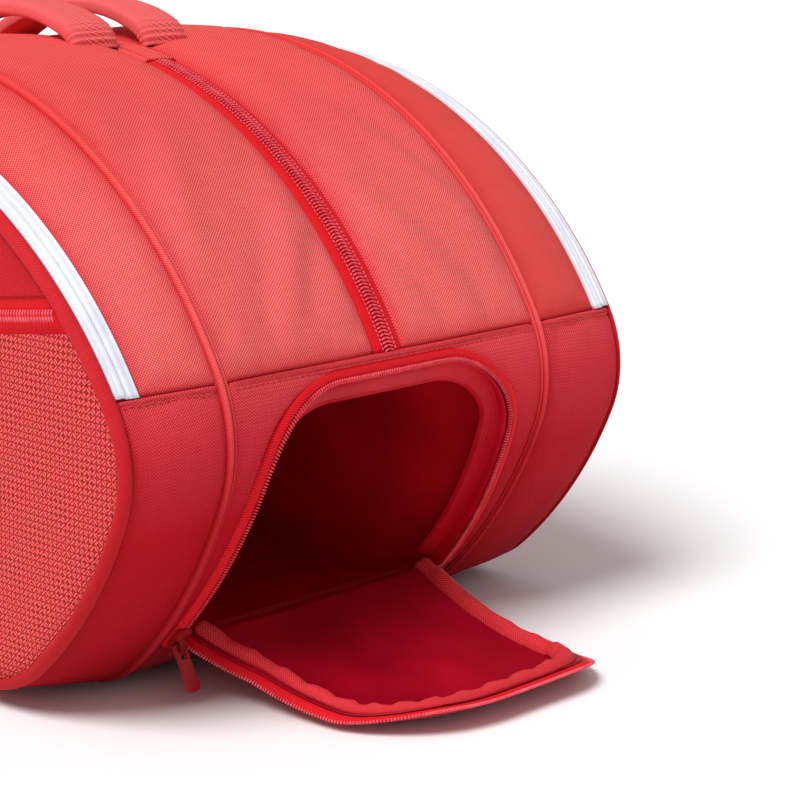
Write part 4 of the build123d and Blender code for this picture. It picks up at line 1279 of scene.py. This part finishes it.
# ---------------------------------------------------------------- grab handles
def swept(name, centres, ups, sides, half_widths, half_heights, material, around, power, crimp=None):
    """A stuffed tube with a rounded flat section, swept along a line of centres."""
    turn = np.linspace(0, 2 * pi, around + 1)
    across = np.sign(np.cos(turn)) * np.abs(np.cos(turn)) ** power
    upward = np.sign(np.sin(turn)) * np.abs(np.sin(turn)) ** power
    run = np.concatenate([[0], np.cumsum(np.linalg.norm(np.diff(centres, axis=0), axis=1))])
    swell = np.ones((len(centres), around + 1))
    if crimp is not None:
        swell = swell + crimp(run[:, None], turn[None, :])
    offset = (sides[:, None, :] * (half_widths[:, None] * across * (0.85 + 0.15 * swell))[..., None]
              + ups[:, None, :] * (half_heights[:, None] * upward * swell)[..., None])
    points = centres[:, None, :] + offset
    lap = 2 * (np.mean(half_widths) + np.mean(half_heights)) * 2
    uv = np.stack(np.broadcast_arrays(run[:, None], (turn / (2 * pi) * lap)[None, :]), axis=-1)
    points = np.swapaxes(points, 0, 1)
    uv = np.swapaxes(uv, 0, 1)
    piece = grid_piece(name, points, uv, material, closed=True, seam=np.zeros(points.shape[:2]))
    smoother = piece.modifiers.new("round", "SUBSURF")
    smoother.levels = smoother.render_levels = 1
    return piece


HANDLE_TAIL = np.array(JOINTS["front_handle_swing"]["pos_m"]) * (1, 0, 1)
HANDLE_ALONG = np.array(JOINTS["front_handle_swing"]["axis"])
HANDLE_UP = np.array([-HANDLE_ALONG[2], 0, HANDLE_ALONG[0]])
HANDLE_Y = abs(JOINTS["front_handle_swing"]["pos_m"][1])
HANDLE_SPAN = (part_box("front_handle")[1].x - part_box("front_handle")[0].x) / HANDLE_ALONG[0]
# Middle line of a handle from its foot to its top, in mm but for the first value:
# share of the span, height over the swing line, half width, half height
HANDLE_LINE = [(-0.128, -10.5, 13.0, 3.2), (-0.115, -6.5, 13.6, 4.0), (-0.075, -1.5, 14.0, 4.3),
               (0.0, 2.5, 14.2, 4.3),
               (0.12, 6.9, 13.8, 4.2), (0.28, 10.4, 13.2, 4.1), (0.5, 11.8, 13.0, 4.0)]


def handle(side, name):
    half = np.array(HANDLE_LINE)
    mirrored = half[:-1][::-1].copy()
    mirrored[:, 0] = 1 - mirrored[:, 0]
    rows = np.concatenate([half, mirrored])
    fine = np.linspace(0, len(rows) - 1, 181)
    knots = np.arange(len(rows))
    rows = np.stack([smooth_through(knots, rows[:, k], fine) for k in range(4)], axis=1)
    base = HANDLE_TAIL + np.array([0, side * HANDLE_Y, 0])
    centres = base + HANDLE_ALONG * (rows[:, :1] * HANDLE_SPAN) + HANDLE_UP * (rows[:, 1:2] * MM)
    along = unit(np.gradient(centres, axis=0))
    sides = np.tile(np.array([0.0, 1.0, 0.0]), (len(centres), 1))
    ups = unit(np.cross(along, sides))
    ups *= np.sign(ups[:, 2:3] + 1e-9)

    def gathers(run, turn):
        from_foot = np.minimum(run, run.max() - run)
        ribs = 0.10 * np.exp(-((from_foot / (11 * MM)) ** 4)) * np.sin(from_foot * 2 * pi / (2.8 * MM))
        return ribs + 0.02 * np.sin(turn * 3 + run / (9 * MM))

    piece = swept(f"{name}_grab_handle", centres, ups, sides, rows[:, 2] * MM, rows[:, 3] * MM, handle_cloth,
                  around=32, power=0.5, crimp=gathers)
    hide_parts(f"{name}_handle", f"{name}_handle_feet")
    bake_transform(piece)


def smooth_through(x, y, at):
    """Values of a smooth curve through the points (x, y)."""
    slope = np.gradient(y, x)
    i = np.clip(np.searchsorted(x, at, side="right") - 1, 0, len(x) - 2)
    width = x[i + 1] - x[i]
    t = (at - x[i]) / width
    return ((2 * t**3 - 3 * t**2 + 1) * y[i] + (t**3 - 2 * t**2 + t) * width * slope[i]
            + (-2 * t**3 + 3 * t**2) * y[i + 1] + (t**3 - t**2) * width * slope[i + 1])


for side, name in SIDES:
    handle(side, name)


BRIDGE_X = (0.084, 0.224)


def crest_bridge():
    """The bar of cloth sewn over the zip where it passes between the handles."""
    start, end = (float(np.interp(x, PATH[: len(PATH) // 2, 0], STATION[: len(PATH) // 2])) for x in BRIDGE_X)
    profile = mm((-10.0, -2.4), (-9.4, -0.5), (-8.2, 0.0), (-4.0, 0.2), (0.0, 0.3), (4.0, 0.2), (8.2, 0.0),
                 (9.4, -0.5), (10.0, -2.4))
    strip("crest_bridge", "bag", "coral_fabric", [], profile, 1, lambda y: start,
          lambda y: end, coral)
    for side, name in SIDES:
        points, outward = line_on_skin(side * 7.4 * MM, lambda y: start, lambda y: end, 0.2 * MM)
        declare(stitches(f"crest_stitches_{name}", points, outward, thread_red), "bag", "coral_binding")


crest_bridge()


# ---------------------------------------------------------------- shoulder straps
STRAP_LENGTH = 0.330
STRAP_WIDTH = 0.052
PAD_ROWS, PAD_COLUMNS = 67, 25
WEBBING_HALF_LENGTH = 0.055
WEBBING_TAIL = 34 * MM
WEBBING_POINTS = 60


def strap(name, body):
    """A padded strap on the back, with its binding, its stitched channels and the webbing that adjusts it."""
    low, high = (np.array(corner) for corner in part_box(f"{name}_strap_pad"))
    middle = (low + high) / 2
    thick = high[1] - low[1]
    share = np.linspace(-1, 1, PAD_ROWS)
    reach = np.abs(share * STRAP_LENGTH / 2) - (STRAP_LENGTH / 2 - STRAP_WIDTH / 2)
    round_end = np.sqrt(np.clip(1 - np.clip(reach / (STRAP_WIDTH / 2), 0, 0.999) ** 2, 0.02, 1))
    across = np.linspace(-1, 1, PAD_COLUMNS)
    grid_a = np.broadcast_to(share[:, None] * STRAP_LENGTH / 2, (PAD_ROWS, PAD_COLUMNS))
    grid_b = across[None, :] * round_end[:, None] * STRAP_WIDTH / 2
    rim = np.minimum(STRAP_WIDTH / 2 * round_end[:, None] - np.abs(grid_b), STRAP_LENGTH / 2 - np.abs(grid_a))
    crown = thick * (1 - np.exp(-rim / (3.5 * MM)))
    for channel in (-9 * MM, 9 * MM):
        groove = np.exp(-(((grid_b - channel) / (1.8 * MM)) ** 2))
        crown = crown - 2.4 * MM * groove * np.clip(rim / (9 * MM), 0, 1)
    crown = crown + 0.4 * MM * soft_noise(grid_a, grid_b, 0.05, 8)
    points = middle + grid_a[..., None] * FOLD_ALONG + grid_b[..., None] * FOLD_UP
    points[..., 1] = FLAT_Y[1] + 1.0 * MM + crown
    uv = np.stack([grid_a, grid_b], axis=-1)
    # Painted shade round the pad's edge, as its seam values
    near = np.exp(-rim / (2.5 * MM)) * 0.6
    pad = grid_piece(f"{name}_shoulder_pad", points, uv, strap_cloth, flip=True, seam=near)
    lined(pad, 1.5 * MM)
    declare(pad, body, "strap_fabric", f"{name}_strap_pad")

    edge = np.concatenate([points[:, 0], points[-1, 1:], points[::-1, -1][1:], points[0, ::-1][1:]])
    centres, along = even(edge, 4 * MM)
    centres = np.concatenate([centres, centres[:1]])
    along = np.concatenate([along, along[:1]])
    ups = np.tile(np.array([0.0, 1.0, 0.0]), (len(centres), 1))
    sides = unit(np.cross(ups, along))
    ones = np.ones(len(centres))
    trim = swept(f"{name}_pad_binding", centres + ups * 1.2 * MM, ups, sides, ones * 2.4 * MM,
                 ones * 2.2 * MM, binding,
                 around=10, power=0.8)
    declare(trim, body, "coral_binding")

    low, high = (np.array(corner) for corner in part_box(f"{name}_strap_webbing"))
    middle = (low + high) / 2
    run = np.linspace(-WEBBING_HALF_LENGTH, WEBBING_HALF_LENGTH + WEBBING_TAIL, WEBBING_POINTS)
    centres = middle + run[:, None] * FOLD_ALONG
    dive = np.clip((-run - 43 * MM) / (12 * MM), 0, 1)
    ripple = 0.8 * MM * np.sin(run * 2 * pi / (70 * MM)) + np.where(run > 57 * MM, 1.6 * MM, 0)
    centres[:, 1] = FLAT_Y[1] + 2.2 * MM + ripple - 3.5 * MM * dive
    ones = np.ones(len(centres))
    band = swept(f"{name}_webbing", centres, np.tile((0.0, 1.0, 0.0), (WEBBING_POINTS, 1)),
                 np.tile(FOLD_UP, (WEBBING_POINTS, 1)),
                 ones * 12.5 * MM, ones * 0.9 * MM, webbing, around=24, power=0.5)
    declare(band, body, "strap_webbing", f"{name}_strap_webbing")


for name, body in (("upper", "back_cover"), ("lower", "bag")):
    strap(name, body)


# ---------------------------------------------------------------- stitches
STITCH_CLEAR = 3.4 * MM


def seam_row(name, y_from, y_to):
    """Topstitches just below the cross seam of the head end."""
    y = np.linspace(y_from, y_to, 60)
    s = np.array([fold_head(v) + STITCH_CLEAR for v in y])
    points = skin(s, y, -0.1 * MM)
    outward = unit(skin(s, y, 1 * MM) - points)
    declare(stitches(name, points, outward, thread_red), "bag", "coral_binding")


seam_row("head_seam_stitches", -INNER_Y + 4 * MM, INNER_Y - 4 * MM)
for side, name in SIDES:
    ends = (side * (OUTER_Y + 5 * MM), side * (FLAT_Y[side] - BAND_OUT - 2 * MM))
    seam_row(f"{name}_gusset_seam_stitches", *ends)


# ---------------------------------------------------------------- finishes of the design's own pieces
def refinish(node, material):
    """Gives a node of the design, such as a slider, its better material."""
    piece = frame["nodes"][node]
    piece.data.materials.clear()
    piece.data.materials.append(material)


for name in ("centre", "front", "back", "pocket", "shoe"):
    refinish(f"{name}_zip_slider", slider_paint)
    refinish(f"{name}_zip_tab", tab_red)
for name in ("upper", "lower"):
    refinish(f"{name}_strap_buckle", buckle_red)
for name in ("front", "back"):
    refinish(f"{name}_zip_coil", white_tape)


# ---------------------------------------------------------------- floor, lights and camera
FLOOR_HALF = 30.0
SKY_STRENGTH = 0.43
SUN_STRENGTH = 2.75
SUN_SIZE = radians(28)
SUN_FROM = (0.06, -0.56, 0.83)


def stage():
    """Pale floor, even sky and one large soft light from the front and above."""
    half = FLOOR_HALF
    floor = mesh_piece("floor", [(-half, -half, 0), (half, -half, 0), (half, half, 0), (-half, half, 0)],
                       [(0, 1, 2, 3)],
                       floor_finish())
    world = bpy.data.worlds.new("studio")
    bpy.context.scene.world = world
    world.use_nodes = True
    world.node_tree.nodes["Background"].inputs["Color"].default_value = (1.0, 1.0, 1.0, 1)
    world.node_tree.nodes["Background"].inputs["Strength"].default_value = SKY_STRENGTH
    light = bpy.data.lights.new("softbox", "SUN")
    light.angle = SUN_SIZE
    light.energy = SUN_STRENGTH
    lamp = bpy.data.objects.new("softbox", light)
    bpy.context.scene.collection.objects.link(lamp)
    lamp.matrix_world = facing(np.array([0.0, -1.0, 2.0]), unit(np.array(SUN_FROM)), 0.0)


def facing(place, back, roll):
    """Matrix of a lamp or camera at place, whose own +Z points along back."""
    right = unit(np.cross([0, 0, 1.0], back))
    up = np.cross(back, right)
    turned = right * cos(roll) + up * sin(roll)
    matrix = Matrix.Identity(4)
    for row in range(3):
        matrix[row][0] = turned[row]
        matrix[row][1] = float(np.cross(back, turned)[row])
        matrix[row][2] = back[row]
        matrix[row][3] = place[row]
    return matrix


CAMERA_PLACE = (1.1096, -0.7600, 0.3669)
CAMERA_AZIMUTH = radians(43.643)
CAMERA_ELEVATION = radians(12.646)
CAMERA_ROLL = radians(0.594)
CAMERA_LENS = 108.19


def camera():
    """The camera, at the angle from which the photo was taken."""
    azimuth, elevation, roll = CAMERA_AZIMUTH, CAMERA_ELEVATION, CAMERA_ROLL
    back = np.array([sin(azimuth) * cos(elevation), -cos(azimuth) * cos(elevation), sin(elevation)])
    data = bpy.data.cameras.new("camera")
    data.lens = CAMERA_LENS
    data.sensor_width = 36
    data.clip_start = 0.05
    data.clip_end = 100
    eye = bpy.data.objects.new("camera", data)
    bpy.context.scene.collection.objects.link(eye)
    eye.matrix_world = facing(np.array(CAMERA_PLACE), back, roll)
    bpy.context.scene.camera = eye


stage()
camera()
bpy.context.scene.view_settings.view_transform = "Standard"
